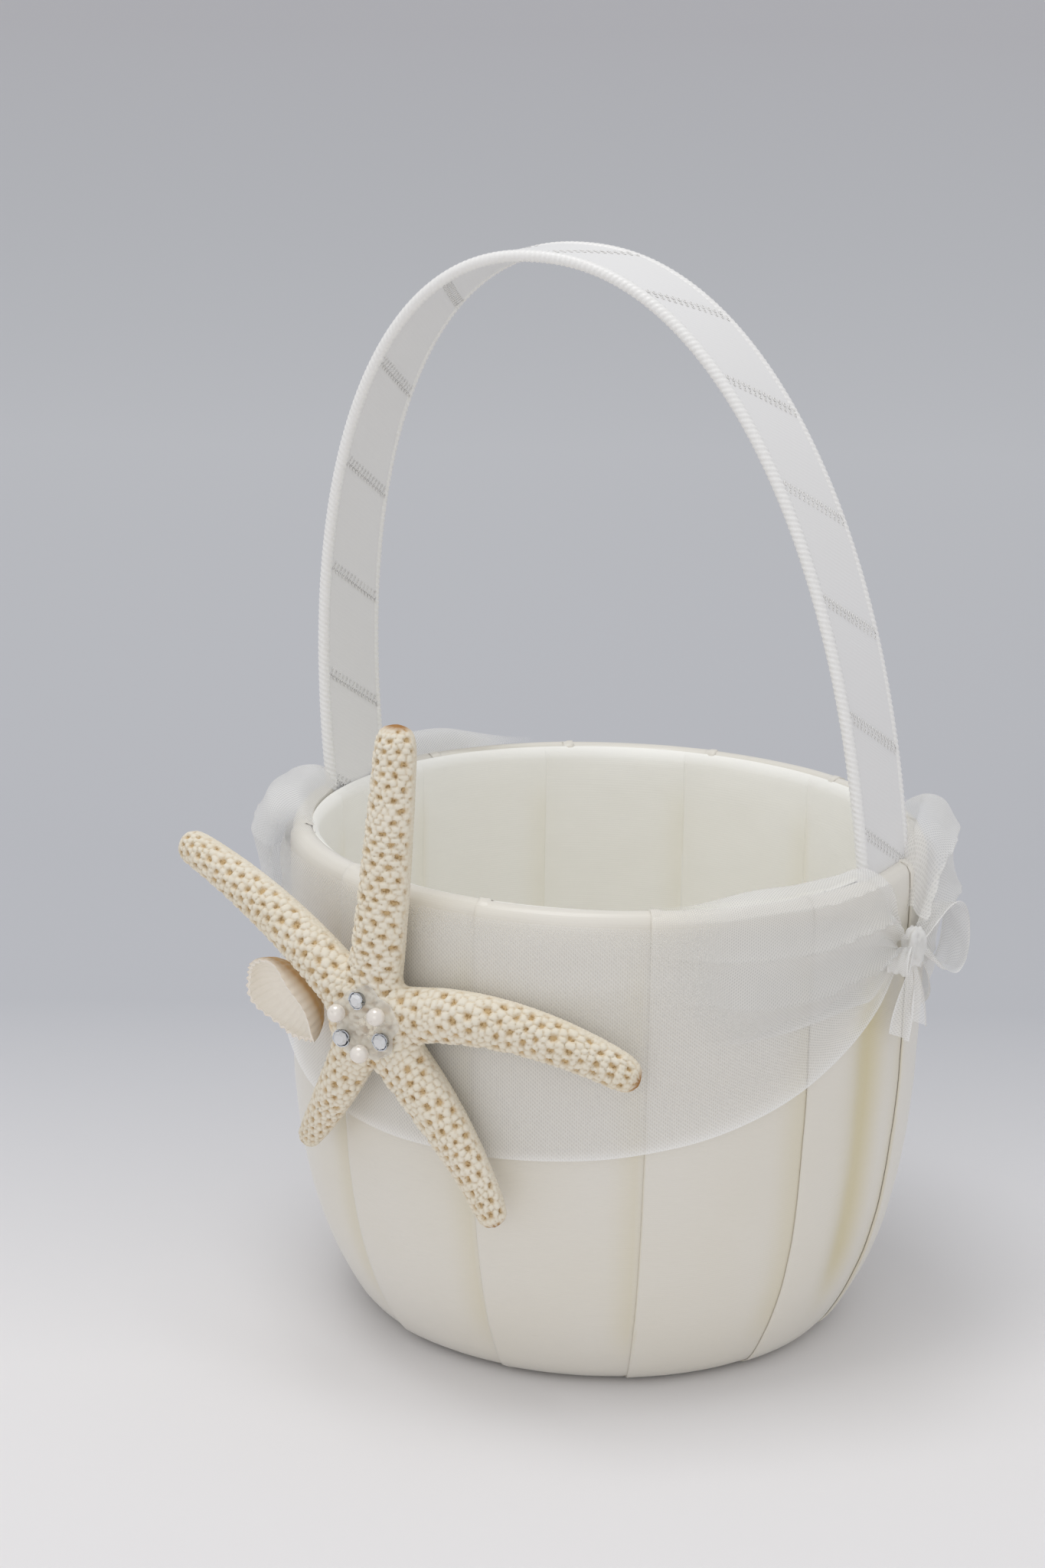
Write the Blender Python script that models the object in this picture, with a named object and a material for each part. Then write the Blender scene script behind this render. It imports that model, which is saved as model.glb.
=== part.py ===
"""Flower girl basket, modelled in Blender: one named object for each sub-part, metres, +Z up.

The origin is the middle of the base, on the surface it stands on. The handle spans X and the
decorated front faces -Y. Driving dimensions are in millimetres and are turned to metres by MM.
"""

from math import asin, copysign, cos, pi, radians, sin

import bmesh
import bpy
from mathutils import Matrix, Vector

MM = 0.001

# Bucket: an oval that is a little wider across the handle than from front to back
RIM_HALF_X = 75.0
RIM_HALF_Y = 72.0
RIM_Z = 118.0
FOOT_RATIO = 0.76  # half-width at the floor over half-width at the rim
SWELL = 4.5  # how early the side swells out to its full width
PLEATS = 12
PLEAT_PHASE = 5.0  # degrees from +X to the first fold
PLEAT_STEPS = (0.0, 10.0, 20.0, 29.2)  # degrees after each fold
COVER = 0.9
BOARD = 3.7
LINING = 0.8
GAP = 0.3
PLEAT_DEPTH = 0.8
FOOT_STANDOFF = 1.2  # how much further in the lining stands over the handle's feet
WALL_HEIGHTS = (5.0, 10.0, 18.0, 32.0, 54.0, 84.0)

# Handle: a springy strip with a cord along each edge, wound in ribbon
HANDLE_HALF_SPAN = 70.6
HANDLE_RISE = 131.5
HANDLE_SQUARENESS = 2.18  # 2 is an ellipse
HANDLE_LEAN = -15.0  # how far the crown stands off to one side
FOOT_DEPTH = 30.0
STRIP_HALF = 0.4
CORD_RADIUS = 0.7
CORD_REACH = 10.5
STRIP_REACH = 9.3
RIBBON = 0.4
RIBBON_EASE = 0.2
ARCH_STEPS = 30
POCKET_REACH = 12.1  # room for each foot in the board wall and the turned-over cover
POCKET_HALF = 1.6

# Staples: two through each foot, crown inside, legs into the board
STAPLE_CROWN_X = 69.0
STAPLE_TIP_X = 73.1
STAPLE_HALF_CROWN = 4.4
STAPLE_WIRE = 0.5
STAPLE_LEG = 0.8
STAPLE_HEIGHTS = (95.0, 105.0)
STAPLE_EASE = 0.2

# Organza swag
SWAG_INSET = -1.1
SWAG_THICKNESS = 0.7
SWAG_LOW = 61.0
SWAG_TOP = 117.0
SWAG_RISE = 38.0  # how far the lower edge climbs to a knot
SWAG_DIP = 14.0  # how far the upper edge dips to a knot
SWAG_STATIONS = 22
SWAG_ROWS = 4
SWAG_END = 4.0  # degrees left for the knot

# Bows, as stations of (distance from the knot, half-height, half-thickness, drop)
KNOT_CENTRE = Vector((79.0, 0.0, 101.0))
KNOT_STATIONS = (
    (-3.9, 1.4, 0.8, 0.0),
    (-2.8, 3.4, 1.8, 0.0),
    (0.0, 4.5, 2.4, 0.0),
    (2.8, 3.4, 1.8, 0.0),
    (3.9, 1.4, 0.8, 0.0),
)
LOOP_STATIONS = ((3.9, 1.8, 1.0, 0.5), (10.0, 5.0, 2.2, 2.0), (17.0, 7.2, 2.4, 4.5), (22.0, 6.6, 1.3, 6.0))
LOOP_STANDOFF = 0.4
TAIL_STATIONS = ((5.2, 1.5, 1.0), (10.2, 2.4, 2.0), (20.2, 5.2, 4.6))  # drop, drift, half-width
TAIL_X = 77.6
TAIL_THICKNESS = 0.5

# Starfish: middle of its body, then angle, length, sideways bow, backward droop, radii of each arm
STAR_CENTRE = Vector((-14.6, -80.0, 90.0))
STAR_FLATNESS = 0.8
STAR_BODY = ((-4.6, 4.0), (-2.8, 7.6), (2.8, 7.6), (4.6, 4.0))  # (depth, radius)
ARM_SHARES = ((0.0, 1.0), (0.15, 1.0), (0.35, 1.0), (0.55, 1.0), (0.75, 1.0))
ARM_END_SHARES = ((0.9, 0.97), (0.97, 0.75), (1.0, 0.35))  # the blunt round end
ARM_SIDES = 10
STAR_ARMS = (
    (86.0, 67.5, -1.0, 3.0, 6.0, 4.2),
    (152.0, 64.0, -4.5, 8.0, 6.0, 3.6),
    (-6.0, 62.0, 7.0, 12.0, 6.2, 3.9),
    (-54.0, 54.0, 3.5, 2.5, 5.8, 3.2),
    (-124.0, 48.0, 2.0, 14.0, 5.5, 2.4),
)

# Ring of gems, centred a little off the middle of the starfish
RING_CENTRE = Vector((-12.7, -86.5, 90.7))
RING_RADIUS = 5.9
RING_START = 96.0
PEARL_RADIUS = 2.0
STONE_PROFILE = ((0.3, 0.7), (1.7, 1.6), (1.7, 1.75), (1.0, 2.3))
STONE_CUP_PROFILE = ((1.6, 0.0), (2.1, 1.3), (1.85, 1.3), (1.2, 0.35))
GLUE_PAD_PROFILE = ((7.6, 0.0), (8.2, 0.3), (7.6, 0.8))
STAR_GLUE_PROFILE = ((5.4, 0.0), (6.0, 0.3), (6.0, 0.7), (5.4, 1.0))
SHELL_GLUE_PROFILE = ((2.4, 0.0), (3.2, 0.8), (3.2, 2.0), (2.4, 2.8))

# Seashell: a ribbed cup behind the starfish's left arm, its mouth facing out and down
SHELL_MOUTH = Vector((-40.9, -78.0, 84.3))
SHELL_NORMAL = Vector((-0.28, -0.77, -0.57)).normalized()
SHELL_ACROSS = Vector((0.86, 0.0, -0.51))
SHELL_HALF_WIDTH = 12.5
SHELL_HALF_HEIGHT = 9.0
SHELL_DEPTH = 8.5
SHELL_WALL = 0.9
SHELL_GLUE_SETBACK = 5.9
STAR_GLUE_SETBACK = 6.1


def linear(hex_colour):
    """Linear RGBA of an sRGB hex colour."""
    values = [int(hex_colour[i : i + 2], 16) / 255 for i in (1, 3, 5)]
    return (*(v / 12.92 if v <= 0.04045 else ((v + 0.055) / 1.055) ** 2.4 for v in values), 1.0)


def material(name, hex_colour, roughness, metallic=0.0):
    """A plain Principled material."""
    made = bpy.data.materials.new(name)
    made.use_nodes = True
    shader = made.node_tree.nodes["Principled BSDF"]
    shader.inputs["Base Color"].default_value = linear(hex_colour)
    shader.inputs["Roughness"].default_value = roughness
    shader.inputs["Metallic"].default_value = metallic
    return made


def add_object(name, mesh, finish):
    """Link a mesh to the scene as a named object with its material."""
    thing = bpy.data.objects.new(name, mesh)
    if not mesh.materials:
        mesh.materials.append(finish)
    bpy.context.scene.collection.objects.link(thing)
    return thing


def mesh_from(shape, name):
    """Mesh of a bmesh in millimetres, scaled to metres, with its faces turned outwards."""
    bmesh.ops.recalc_face_normals(shape, faces=shape.faces)
    bmesh.ops.scale(shape, vec=(MM, MM, MM), verts=shape.verts)
    mesh = bpy.data.meshes.new(name)
    shape.to_mesh(mesh)
    shape.free()
    mesh.shade_smooth()
    mesh.set_sharp_from_angle(angle=radians(35))
    return mesh


def loft(name, rings, finish, closed_loop=False):
    """Skin over rings of equal length, capped at both ends, or joined end to end."""
    shape = bmesh.new()
    rows = [[shape.verts.new(point) for point in ring] for ring in rings]
    pairs = list(zip(rows, rows[1:]))
    if closed_loop:
        pairs.append((rows[-1], rows[0]))
    else:
        shape.faces.new(rows[0])
        shape.faces.new(rows[-1])
    for near, far in pairs:
        for i in range(len(near)):
            j = (i + 1) % len(near)
            shape.faces.new((near[i], near[j], far[j], far[i]))
    return add_object(name, mesh_from(shape, name), finish)


def side_ratio(z):
    """Half-width at a height over the rim's: narrow at the floor, soon nearly upright."""
    rise = min(max(z / RIM_Z, 0.0), 1.0)
    return FOOT_RATIO + (1.0 - FOOT_RATIO) * (1.0 - (1.0 - rise) ** SWELL)


def wall_point(angle, z, inset):
    """Point at an angle from +X and a height, a distance inside the bucket's outer side."""
    ratio = side_ratio(z)
    across, deep = RIM_HALF_X * ratio - inset, RIM_HALF_Y * ratio - inset
    return Vector((across * cos(angle), deep * sin(angle), z))


def wall_turns():
    """Angles round the bucket, in radians, each with how far its pleat stands proud there, 1 to 0."""
    width = 360.0 / PLEATS
    return [
        (radians(PLEAT_PHASE + width * pleat + step), 1.0 - step / width)
        for pleat in range(PLEATS)
        for step in PLEAT_STEPS
    ]


def wall_ring(z, inset, pleat=0.0, standoff=0.0):
    """Ring of points round the bucket, with pleats, standing further in over the handle's feet."""
    return [
        wall_point(angle, z, inset - pleat * proud + standoff * abs(cos(angle)) ** 12)
        for angle, proud in wall_turns()
    ]


def disc(name, z_low, z_top, inset, finish):
    """Flat oval disc with eased edges that follows the bucket's plan at its lower face."""
    ease = 0.3
    plan = ((z_low, inset + ease), (z_low + ease, inset), (z_top - ease, inset), (z_top, inset + ease))
    rings = []
    for z, edge in plan:
        outline = [wall_point(angle, z_low, edge) for angle, _ in wall_turns()]
        rings.append([Vector((point.x, point.y, z)) for point in outline])
    return loft(name, rings, finish)


def build_bucket(satin, board, paper):
    """Board wall and floor, pleated satin cover and lining, and the discs that close them."""
    shell_out = COVER + GAP
    shell_in = shell_out + BOARD
    lining_out = shell_in + GAP
    board_top, cap_under = 116.4, 116.7
    shell = loft(
        "shell_wall",
        [wall_ring(z, shell_out) for z in (1.8, *WALL_HEIGHTS, board_top)]
        + [wall_ring(z, shell_in) for z in (board_top, *reversed(WALL_HEIGHTS), 1.8)],
        board,
        closed_loop=True,
    )
    disc("shell_base", 1.8, 3.8, shell_in + GAP, board)
    turn_over = [
        wall_ring(117.4, 0.7, PLEAT_DEPTH * 0.7),
        wall_ring(RIM_Z, 2.4),
        wall_ring(117.5, shell_in - 0.1),
        wall_ring(cap_under, shell_in - 0.1),
    ]
    cover = loft(
        "outer_cover",
        [wall_ring(z, 0.0, PLEAT_DEPTH) for z in (1.7, *WALL_HEIGHTS, 115.6)]
        + turn_over
        + [wall_ring(z, COVER) for z in (cap_under, *reversed(WALL_HEIGHTS), 1.7)],
        satin,
        closed_loop=True,
    )
    disc("base_cover", 0.0, 1.3, 1.0, paper)
    lining_heights = (6.6, *WALL_HEIGHTS[1:], 117.0)
    loft(
        "lining_wall",
        [wall_ring(z, lining_out, standoff=FOOT_STANDOFF) for z in lining_heights]
        + [wall_ring(z, lining_out + LINING, standoff=FOOT_STANDOFF) for z in reversed(lining_heights)],
        satin,
        closed_loop=True,
    )
    disc("lining_floor", 4.1, 6.3, shell_in + GAP, satin)
    return shell, cover


def handle_line(foot_depth):
    """Centre line of the handle with its outward direction, from the +X foot over to the -X foot."""
    power = 2.0 / HANDLE_SQUARENESS
    foot = [(HANDLE_HALF_SPAN, RIM_Z - foot_depth), (HANDLE_HALF_SPAN, RIM_Z - 12.0)]
    spots = list(foot)
    for step in range(ARCH_STEPS + 1):
        turn = pi * step / ARCH_STEPS
        rise = abs(sin(turn)) ** power
        across = copysign(abs(cos(turn)) ** power, cos(turn))
        spots.append((HANDLE_HALF_SPAN * across + HANDLE_LEAN * rise, RIM_Z + HANDLE_RISE * rise))
    spots += [(-x, z) for x, z in reversed(foot)]
    points = [Vector((x, 0.0, z)) for x, z in spots]
    line = []
    for i, point in enumerate(points):
        along = (points[min(i + 1, len(points) - 1)] - points[max(i - 1, 0)]).normalized()
        line.append((point, Vector((along.z, 0.0, -along.x))))
    return line


def band_rings(section, foot_depth=FOOT_DEPTH):
    """Rings of a section, given as (across, outward) pairs, carried along the handle."""
    return [
        [point + Vector((0.0, across, 0.0)) + out * height for across, height in section]
        for point, out in handle_line(foot_depth)
    ]


def corded_section(web, bead):
    """Strip section with a round bead at each edge, as (across, outward) pairs."""
    meet = pi - asin(web / bead)
    turns = [meet * (step / 2 - 1) for step in range(5)]
    edge = [(CORD_REACH + bead * cos(t), bead * sin(t)) for t in turns]
    return edge + [(-across, -height) for across, height in edge]


def box_section(half_width, half_height):
    """Rectangular section, as (across, outward) pairs."""
    return [
        (across * half_width, out * half_height)
        for across, out in ((1, -1), (1, 1), (-1, 1), (-1, -1))
    ]


def circle(radius, sides):
    """Points of a circle, as pairs."""
    return [(radius * cos(2 * pi * k / sides), radius * sin(2 * pi * k / sides)) for k in range(sides)]


def build_handle(strip, cord, satin):
    """Strip, edge cords and ribbon. Returns the ribbon and the strip, which the staples pierce."""
    core = loft("handle_core", band_rings(box_section(STRIP_REACH, STRIP_HALF)), strip)
    for name, side in (("handle_edge_front", -1), ("handle_edge_back", 1)):
        section = [(side * CORD_REACH + across, out) for across, out in circle(CORD_RADIUS, 6)]
        loft(name, band_rings(section), cord)
    web, bead = STRIP_HALF + RIBBON_EASE, CORD_RADIUS + RIBBON_EASE
    inner = band_rings(corded_section(web, bead))
    outer = band_rings(corded_section(web + RIBBON, bead + RIBBON))
    return loft("handle_wrap", outer + inner[::-1], satin, closed_loop=True), core


def cutter(name, rings):
    """Guide solid that only cuts or joins, hidden from the model."""
    guide = loft(name, rings, None)
    guide.hide_render = True
    guide.display_type = "WIRE"
    return guide


def apply_guide(target, guide, operation="DIFFERENCE"):
    """Cut or join a guide into an object with an exact Boolean."""
    step = target.modifiers.new(guide.name, "BOOLEAN")
    step.operation = operation
    step.solver = "EXACT"
    step.object = guide


def cut_pockets(targets):
    """Clear the way of the handle's feet through what they pass."""
    rings = band_rings(box_section(POCKET_REACH, POCKET_HALF), FOOT_DEPTH + GAP)
    pocket = cutter("handle_pocket", rings)
    for target in targets:
        apply_guide(target, pocket)


def staple_outline():
    """Outline of a staple in plan, crown at the inside, as (x, y) pairs for the +X side."""
    bend = STAPLE_CROWN_X + STAPLE_WIRE
    leg = STAPLE_HALF_CROWN - STAPLE_LEG
    half = [(STAPLE_CROWN_X, STAPLE_HALF_CROWN), (STAPLE_TIP_X, STAPLE_HALF_CROWN)]
    half += [(STAPLE_TIP_X, leg), (bend, leg)]
    return half + [(x, -y) for x, y in reversed(half)]


def leg_hole(side, way, z):
    """Rings of the clearance hole round one staple leg."""
    middle = way * (STAPLE_HALF_CROWN - STAPLE_LEG / 2)
    half_y, half_z = STAPLE_LEG / 2 + STAPLE_EASE, STAPLE_WIRE / 2 + STAPLE_EASE
    corners = ((-1, -1), (1, -1), (1, 1), (-1, 1))
    return [
        [Vector((side * x, middle + half_y * dy, z + half_z * dz)) for dy, dz in corners]
        for x in (STAPLE_CROWN_X + 0.35, STAPLE_TIP_X + 0.25)
    ]


def build_staples(steel, pierced):
    """Two staples a side through each handle foot, with clearance holes in what they pierce."""
    for side, word in ((1, "right"), (-1, "left")):
        for number, z in enumerate(STAPLE_HEIGHTS, 1):
            outline = staple_outline()
            faces = (z - STAPLE_WIRE / 2, z + STAPLE_WIRE / 2)
            rings = [[Vector((side * x, y, face)) for x, y in outline] for face in faces]
            loft(f"staple_{word}_{number}", rings, steel)
            for way in (-1, 1):
                hole = cutter(f"staple_hole_{word}_{number}_{way}", leg_hole(side, way, z))
                for target in pierced:
                    apply_guide(target, hole)


def swag_edges(angle):
    """Lower and upper height of the swag: full width at the middle, gathered towards each knot."""
    reach = abs(1.0 - (angle % pi) / (pi / 2))
    return SWAG_LOW + SWAG_RISE * reach**3, SWAG_TOP - SWAG_DIP * reach**8


def build_swag(organza):
    """Organza laid round the front and the back, from knot to knot."""
    for name, start in (("organza_front", 180.0 + SWAG_END), ("organza_back", SWAG_END)):
        rings = []
        for station in range(SWAG_STATIONS + 1):
            angle = radians(start + (180.0 - 2 * SWAG_END) * station / SWAG_STATIONS)
            low, top = swag_edges(angle)
            heights = [low + (top - low) * row / SWAG_ROWS for row in range(SWAG_ROWS + 1)]
            outer = [wall_point(angle, z, SWAG_INSET - SWAG_THICKNESS) for z in heights]
            inner = [wall_point(angle, z, SWAG_INSET) for z in reversed(heights)]
            rings.append(outer + inner)
        loft(name, rings, organza)


def station_rings(middle, way, stations):
    """Oval rings along +Y or -Y from (distance, half-height, half-thickness, drop) stations."""
    return [
        [
            middle + Vector((half_thickness * x, way * distance, half_height * z - drop))
            for x, z in circle(1.0, 8)
        ]
        for distance, half_height, half_thickness, drop in stations
    ]


def tail_rings(side, way):
    """Flat sections of one bow tail, from the knot down."""
    rings = []
    for drop, drift, half_width in TAIL_STATIONS:
        near, far = way * (drift - half_width), way * (drift + half_width)
        faces = (side * TAIL_X, side * (TAIL_X + TAIL_THICKNESS))
        corners = ((faces[0], near), (faces[0], far), (faces[1], far), (faces[1], near))
        rings.append([Vector((x, y, KNOT_CENTRE.z - drop)) for x, y in corners])
    return rings


def build_bows(organza):
    """A bow at each end of the handle: knot, two fanned loops and two short tails."""
    for side, word in ((1, "right"), (-1, "left")):
        middle = Vector((side * KNOT_CENTRE.x, 0.0, KNOT_CENTRE.z))
        root = middle + Vector((side * LOOP_STANDOFF, 0.0, 0.0))
        loft(f"bow_{word}_knot", station_rings(middle, 1, KNOT_STATIONS), organza)
        for way, place in ((-1, "front"), (1, "back")):
            loft(f"bow_{word}_loop_{place}", station_rings(root, way, LOOP_STATIONS), organza)
            loft(f"bow_{word}_tail_{place}", tail_rings(side, way), organza)


def arm_rings(angle, length, bow, droop, base, tip):
    """Rings of one starfish arm, bowed sideways and drooping back, with a blunt round end."""
    out = Vector((cos(radians(angle)), 0.0, sin(radians(angle))))
    left = Vector((-out.z, 0.0, out.x))
    rings = []
    for share, size in ARM_SHARES + ARM_END_SHARES:
        middle = STAR_CENTRE + out * length * share + left * bow * 4 * share * (1 - share)
        middle.y += droop * share**2
        radius = (base + (tip - base) * share**1.4) * size
        rings.append(
            [middle + left * x + Vector((0.0, y * STAR_FLATNESS, 0.0)) for x, y in circle(radius, ARM_SIDES)]
        )
    return rings


def build_starfish(limy):
    """Five tapering arms joined at a low central body."""
    rings = [
        [STAR_CENTRE + Vector((x, depth, z)) for x, z in circle(radius, 12)]
        for depth, radius in STAR_BODY
    ]
    body = loft("starfish", rings, limy)
    for number, arm in enumerate(STAR_ARMS, 1):
        apply_guide(body, cutter(f"starfish_arm_guide_{number}", arm_rings(*arm)), "UNION")


def add_turned(name, profile, sides, finish, back):
    """Solid turned about an axis that points to the front, from (radius, height) pairs, at its back."""
    rings = [[Vector((x, y, height)) for x, y in circle(radius, sides)] for radius, height in profile]
    thing = loft(name, rings, finish)
    thing.location = back * MM
    thing.rotation_euler = (radians(90), 0.0, 0.0)


def build_gems(pearl, crystal, silver, glue):
    """Ring of pearls and crystal stones in turn, on a pad of clear glue."""
    add_turned("gem_glue", GLUE_PAD_PROFILE, 16, glue, Vector((RING_CENTRE.x, -85.3, RING_CENTRE.z)))
    arc = [radians(-75 + 25 * step) for step in range(7)]
    pearl_profile = [(PEARL_RADIUS * cos(a), PEARL_RADIUS * (1 + sin(a))) for a in arc]
    for number in range(6):
        angle = radians(RING_START - 60 * number)
        place = RING_CENTRE + RING_RADIUS * Vector((cos(angle), 0.0, sin(angle)))
        pair = number // 2 + 1
        if number % 2:
            add_turned(f"pearl_{pair}", pearl_profile, 12, pearl, place)
        else:
            add_turned(f"stone_cup_{pair}", STONE_CUP_PROFILE, 12, silver, place)
            add_turned(f"stone_{pair}", STONE_PROFILE, 8, crystal, place)


def cup_ring(turn, wall):
    """Ring of the seashell's cup: turn 0 is the mouth, a quarter turn the back."""
    up = SHELL_NORMAL.cross(SHELL_ACROSS).normalized()
    frame = Matrix((SHELL_ACROSS, up, SHELL_NORMAL)).transposed()
    wide = (SHELL_HALF_WIDTH - wall) * cos(turn)
    high = (SHELL_HALF_HEIGHT - wall) * cos(turn)
    depth = (SHELL_DEPTH - wall) * sin(turn)
    return [SHELL_MOUTH + frame @ Vector((wide * x, high * y, -depth)) for x, y in circle(1.0, 16)]


def build_seashell(limy, glue):
    """Shell as a thin cup, and the glue that holds the shell and the starfish on."""
    turns = [radians(step) for step in (0, 25, 48, 68, 82)]
    outside = [cup_ring(turn, 0.0) for turn in reversed(turns)]
    loft("seashell", outside + [cup_ring(turn, SHELL_WALL) for turn in turns], limy)
    back = SHELL_MOUTH - SHELL_NORMAL * SHELL_DEPTH + Vector((0.0, SHELL_GLUE_SETBACK, 0.0))
    add_turned("seashell_glue", SHELL_GLUE_PROFILE, 10, glue, back)
    star_back = STAR_CENTRE + Vector((0.0, STAR_GLUE_SETBACK, 0.0))
    add_turned("starfish_glue", STAR_GLUE_PROFILE, 12, glue, star_back)


def main():
    """Build the basket from an empty scene."""
    for thing in list(bpy.data.objects):
        bpy.data.objects.remove(thing)
    satin = material("ivory_satin", "#e9e5da", 0.35)
    organza = material("ivory_organza", "#efede8", 0.5)
    board = material("grey_board", "#b9ae9c", 0.85)
    shell, cover = build_bucket(satin, board, material("felt_paper", "#e2ddd0", 0.9))
    strip = material("spring_strip", "#d9d4c6", 0.5)
    wrap, core = build_handle(strip, material("cotton_cord", "#e6e1d3", 0.8), satin)
    cut_pockets((shell, cover))
    build_staples(material("staple_steel", "#b9bcc0", 0.3, 1.0), (wrap, core, shell))
    build_swag(organza)
    build_bows(organza)
    build_starfish(material("starfish_lime", "#e6dcc8", 0.8))
    build_gems(
        material("pearl", "#f2ece2", 0.2),
        material("crystal", "#dfe6ee", 0.05),
        material("silver_foil", "#c9ced6", 0.2, 1.0),
        material("clear_glue", "#dcd8cf", 0.15),
    )
    build_seashell(material("shell_lime", "#e0c79b", 0.5), material("cloudy_glue", "#d8d2c4", 0.3))


main()
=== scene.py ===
"""Looks of a flower girl basket: satin bucket, ribbon-wound handle, organza swags and a starfish.

Sizes are in millimetres and are turned to metres by MM where a mesh is written. The frame is the
packed basket's own: origin at the middle of the base, +Z up, handle across X, front towards -Y.
"""

import logging
from dataclasses import dataclass, field
from enum import Enum
from math import cos, hypot, pi, radians, sin
from typing import Callable, Sequence

import bpy
import numpy as np
from mathutils import Matrix, Vector

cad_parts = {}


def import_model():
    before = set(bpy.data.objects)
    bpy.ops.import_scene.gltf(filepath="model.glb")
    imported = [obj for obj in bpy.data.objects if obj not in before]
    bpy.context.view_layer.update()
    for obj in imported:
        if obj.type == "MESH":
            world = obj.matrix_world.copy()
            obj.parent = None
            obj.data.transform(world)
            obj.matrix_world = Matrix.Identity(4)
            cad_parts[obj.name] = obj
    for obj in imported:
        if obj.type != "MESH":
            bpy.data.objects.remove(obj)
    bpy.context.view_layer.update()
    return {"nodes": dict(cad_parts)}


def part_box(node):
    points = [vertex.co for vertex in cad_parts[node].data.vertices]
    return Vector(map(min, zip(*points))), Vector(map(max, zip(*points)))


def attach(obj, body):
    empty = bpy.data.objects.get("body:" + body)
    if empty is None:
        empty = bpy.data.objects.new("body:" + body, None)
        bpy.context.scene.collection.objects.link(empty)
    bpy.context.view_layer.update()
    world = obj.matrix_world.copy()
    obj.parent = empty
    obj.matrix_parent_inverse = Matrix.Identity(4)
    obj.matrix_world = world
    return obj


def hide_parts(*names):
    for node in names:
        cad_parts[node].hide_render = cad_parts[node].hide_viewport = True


MM = 0.001
LOG = logging.getLogger("basket")
WELD = 0.01  # millimetres between points that become one
FEW_POINTS = 4000  # below this many, distances to a line are worked out pair by pair
BODY = "root"

Points = np.ndarray
Place = Callable[[np.ndarray, np.ndarray], Points]


class Slot(str, Enum):
    """The record's material slots, named next to each new piece's finish."""

    OUTER_SATIN = "outer_satin"
    LINING_SATIN = "lining_satin"
    RIBBON_SATIN = "ribbon_satin"
    ORGANZA = "organza"
    FELT_PAPER = "felt_paper"
    STARFISH = "starfish"
    SEASHELL = "seashell"
    CLEAR_GLUE = "clear_glue"
    PEARL = "pearl"
    CRYSTAL = "crystal"
    SILVER_FOIL = "silver_foil"


class Side(Enum):
    """An end of the handle, by the sign of X."""

    RIGHT = 1
    LEFT = -1


# --------------------------------------------------------------------------------------------
# Small tools
# --------------------------------------------------------------------------------------------


def deselect() -> None:
    """Leave nothing selected, so that an operator acts only on what is selected next."""
    bpy.ops.object.select_all(action="DESELECT")


def activate(piece: bpy.types.Object) -> None:
    """Select one piece alone and make it the active one."""
    deselect()
    piece.select_set(True)
    bpy.context.view_layer.objects.active = piece


def apply_modifier(piece: bpy.types.Object, kind: str, **settings: object) -> None:
    """Add a modifier with its settings and apply it.

    Args:
        piece: The piece it shapes.
        kind: Blender's name of the modifier type.
        settings: The modifier's own settings.
    """
    activate(piece)
    step = piece.modifiers.new(kind.title(), kind)
    for name, value in settings.items():
        setattr(step, name, value)
    bpy.ops.object.modifier_apply(modifier=step.name)


def coordinates(piece: bpy.types.Object) -> Points:
    """A piece's points as rows of x, y, z in millimetres."""
    flat = np.empty(len(piece.data.vertices) * 3, np.float32)
    piece.data.vertices.foreach_get("co", flat)
    return flat.reshape(-1, 3).astype(float) / MM


def move_points(piece: bpy.types.Object, points: Points) -> None:
    """Write a piece's points back, from millimetres."""
    piece.data.vertices.foreach_set("co", (points * MM).astype(np.float32).ravel())
    piece.data.update()


def cloth_area(piece: bpy.types.Object) -> float:
    """Area of a sheet's skin in square metres."""
    areas = np.empty(len(piece.data.polygons), np.float32)
    piece.data.polygons.foreach_get("area", areas)
    return float(areas.sum())


def set_attribute(piece: bpy.types.Object, name: str, values: np.ndarray) -> None:
    """Store one number for each point, for a material to read."""
    attribute = piece.data.attributes.new(name, "FLOAT", "POINT")
    attribute.data.foreach_set("value", values.astype(np.float32))


def weld(piece: bpy.types.Object) -> None:
    """Merge points that lie on each other and turn the faces outwards."""
    activate(piece)
    bpy.ops.object.mode_set(mode="EDIT")
    bpy.ops.mesh.select_all(action="SELECT")
    bpy.ops.mesh.remove_doubles(threshold=WELD * MM)
    bpy.ops.mesh.normals_make_consistent(inside=False)
    bpy.ops.object.mode_set(mode="OBJECT")


def smooth(piece: bpy.types.Object, angle: float = 60.0) -> None:
    """Shade a piece smooth, apart from edges sharper than an angle in degrees."""
    activate(piece)
    bpy.ops.object.shade_smooth_by_angle(angle=radians(angle))


def cloth(name: str, columns: int, rows: int, place: Place, cut: tuple[float, float]) -> bpy.types.Object:
    """Sheet of cloth from a flat grid whose points are then moved to where the cloth lies.

    Args:
        name: The piece's name.
        columns: Faces along the cloth's first direction, u.
        rows: Faces along its second direction, v.
        place: Gives the points in millimetres for arrays of u and v from 0 to 1.
        cut: The cloth's size along u and v in millimetres, to which its UV map is scaled.

    Returns:
        The sheet, with a UV map in millimetres of cloth.
    """
    deselect()
    bpy.ops.mesh.primitive_grid_add(x_subdivisions=columns, y_subdivisions=rows, size=2.0)
    piece = bpy.context.object
    piece.name = piece.data.name = name
    start = coordinates(piece) * MM
    move_points(piece, place((start[:, 0] + 1) / 2, (start[:, 1] + 1) / 2))
    layer = piece.data.uv_layers[0].data
    uv = np.empty(len(layer) * 2, np.float32)
    layer.foreach_get("uv", uv)
    layer.foreach_set("uv", (uv.reshape(-1, 2) * cut).astype(np.float32).ravel())
    return piece


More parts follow.
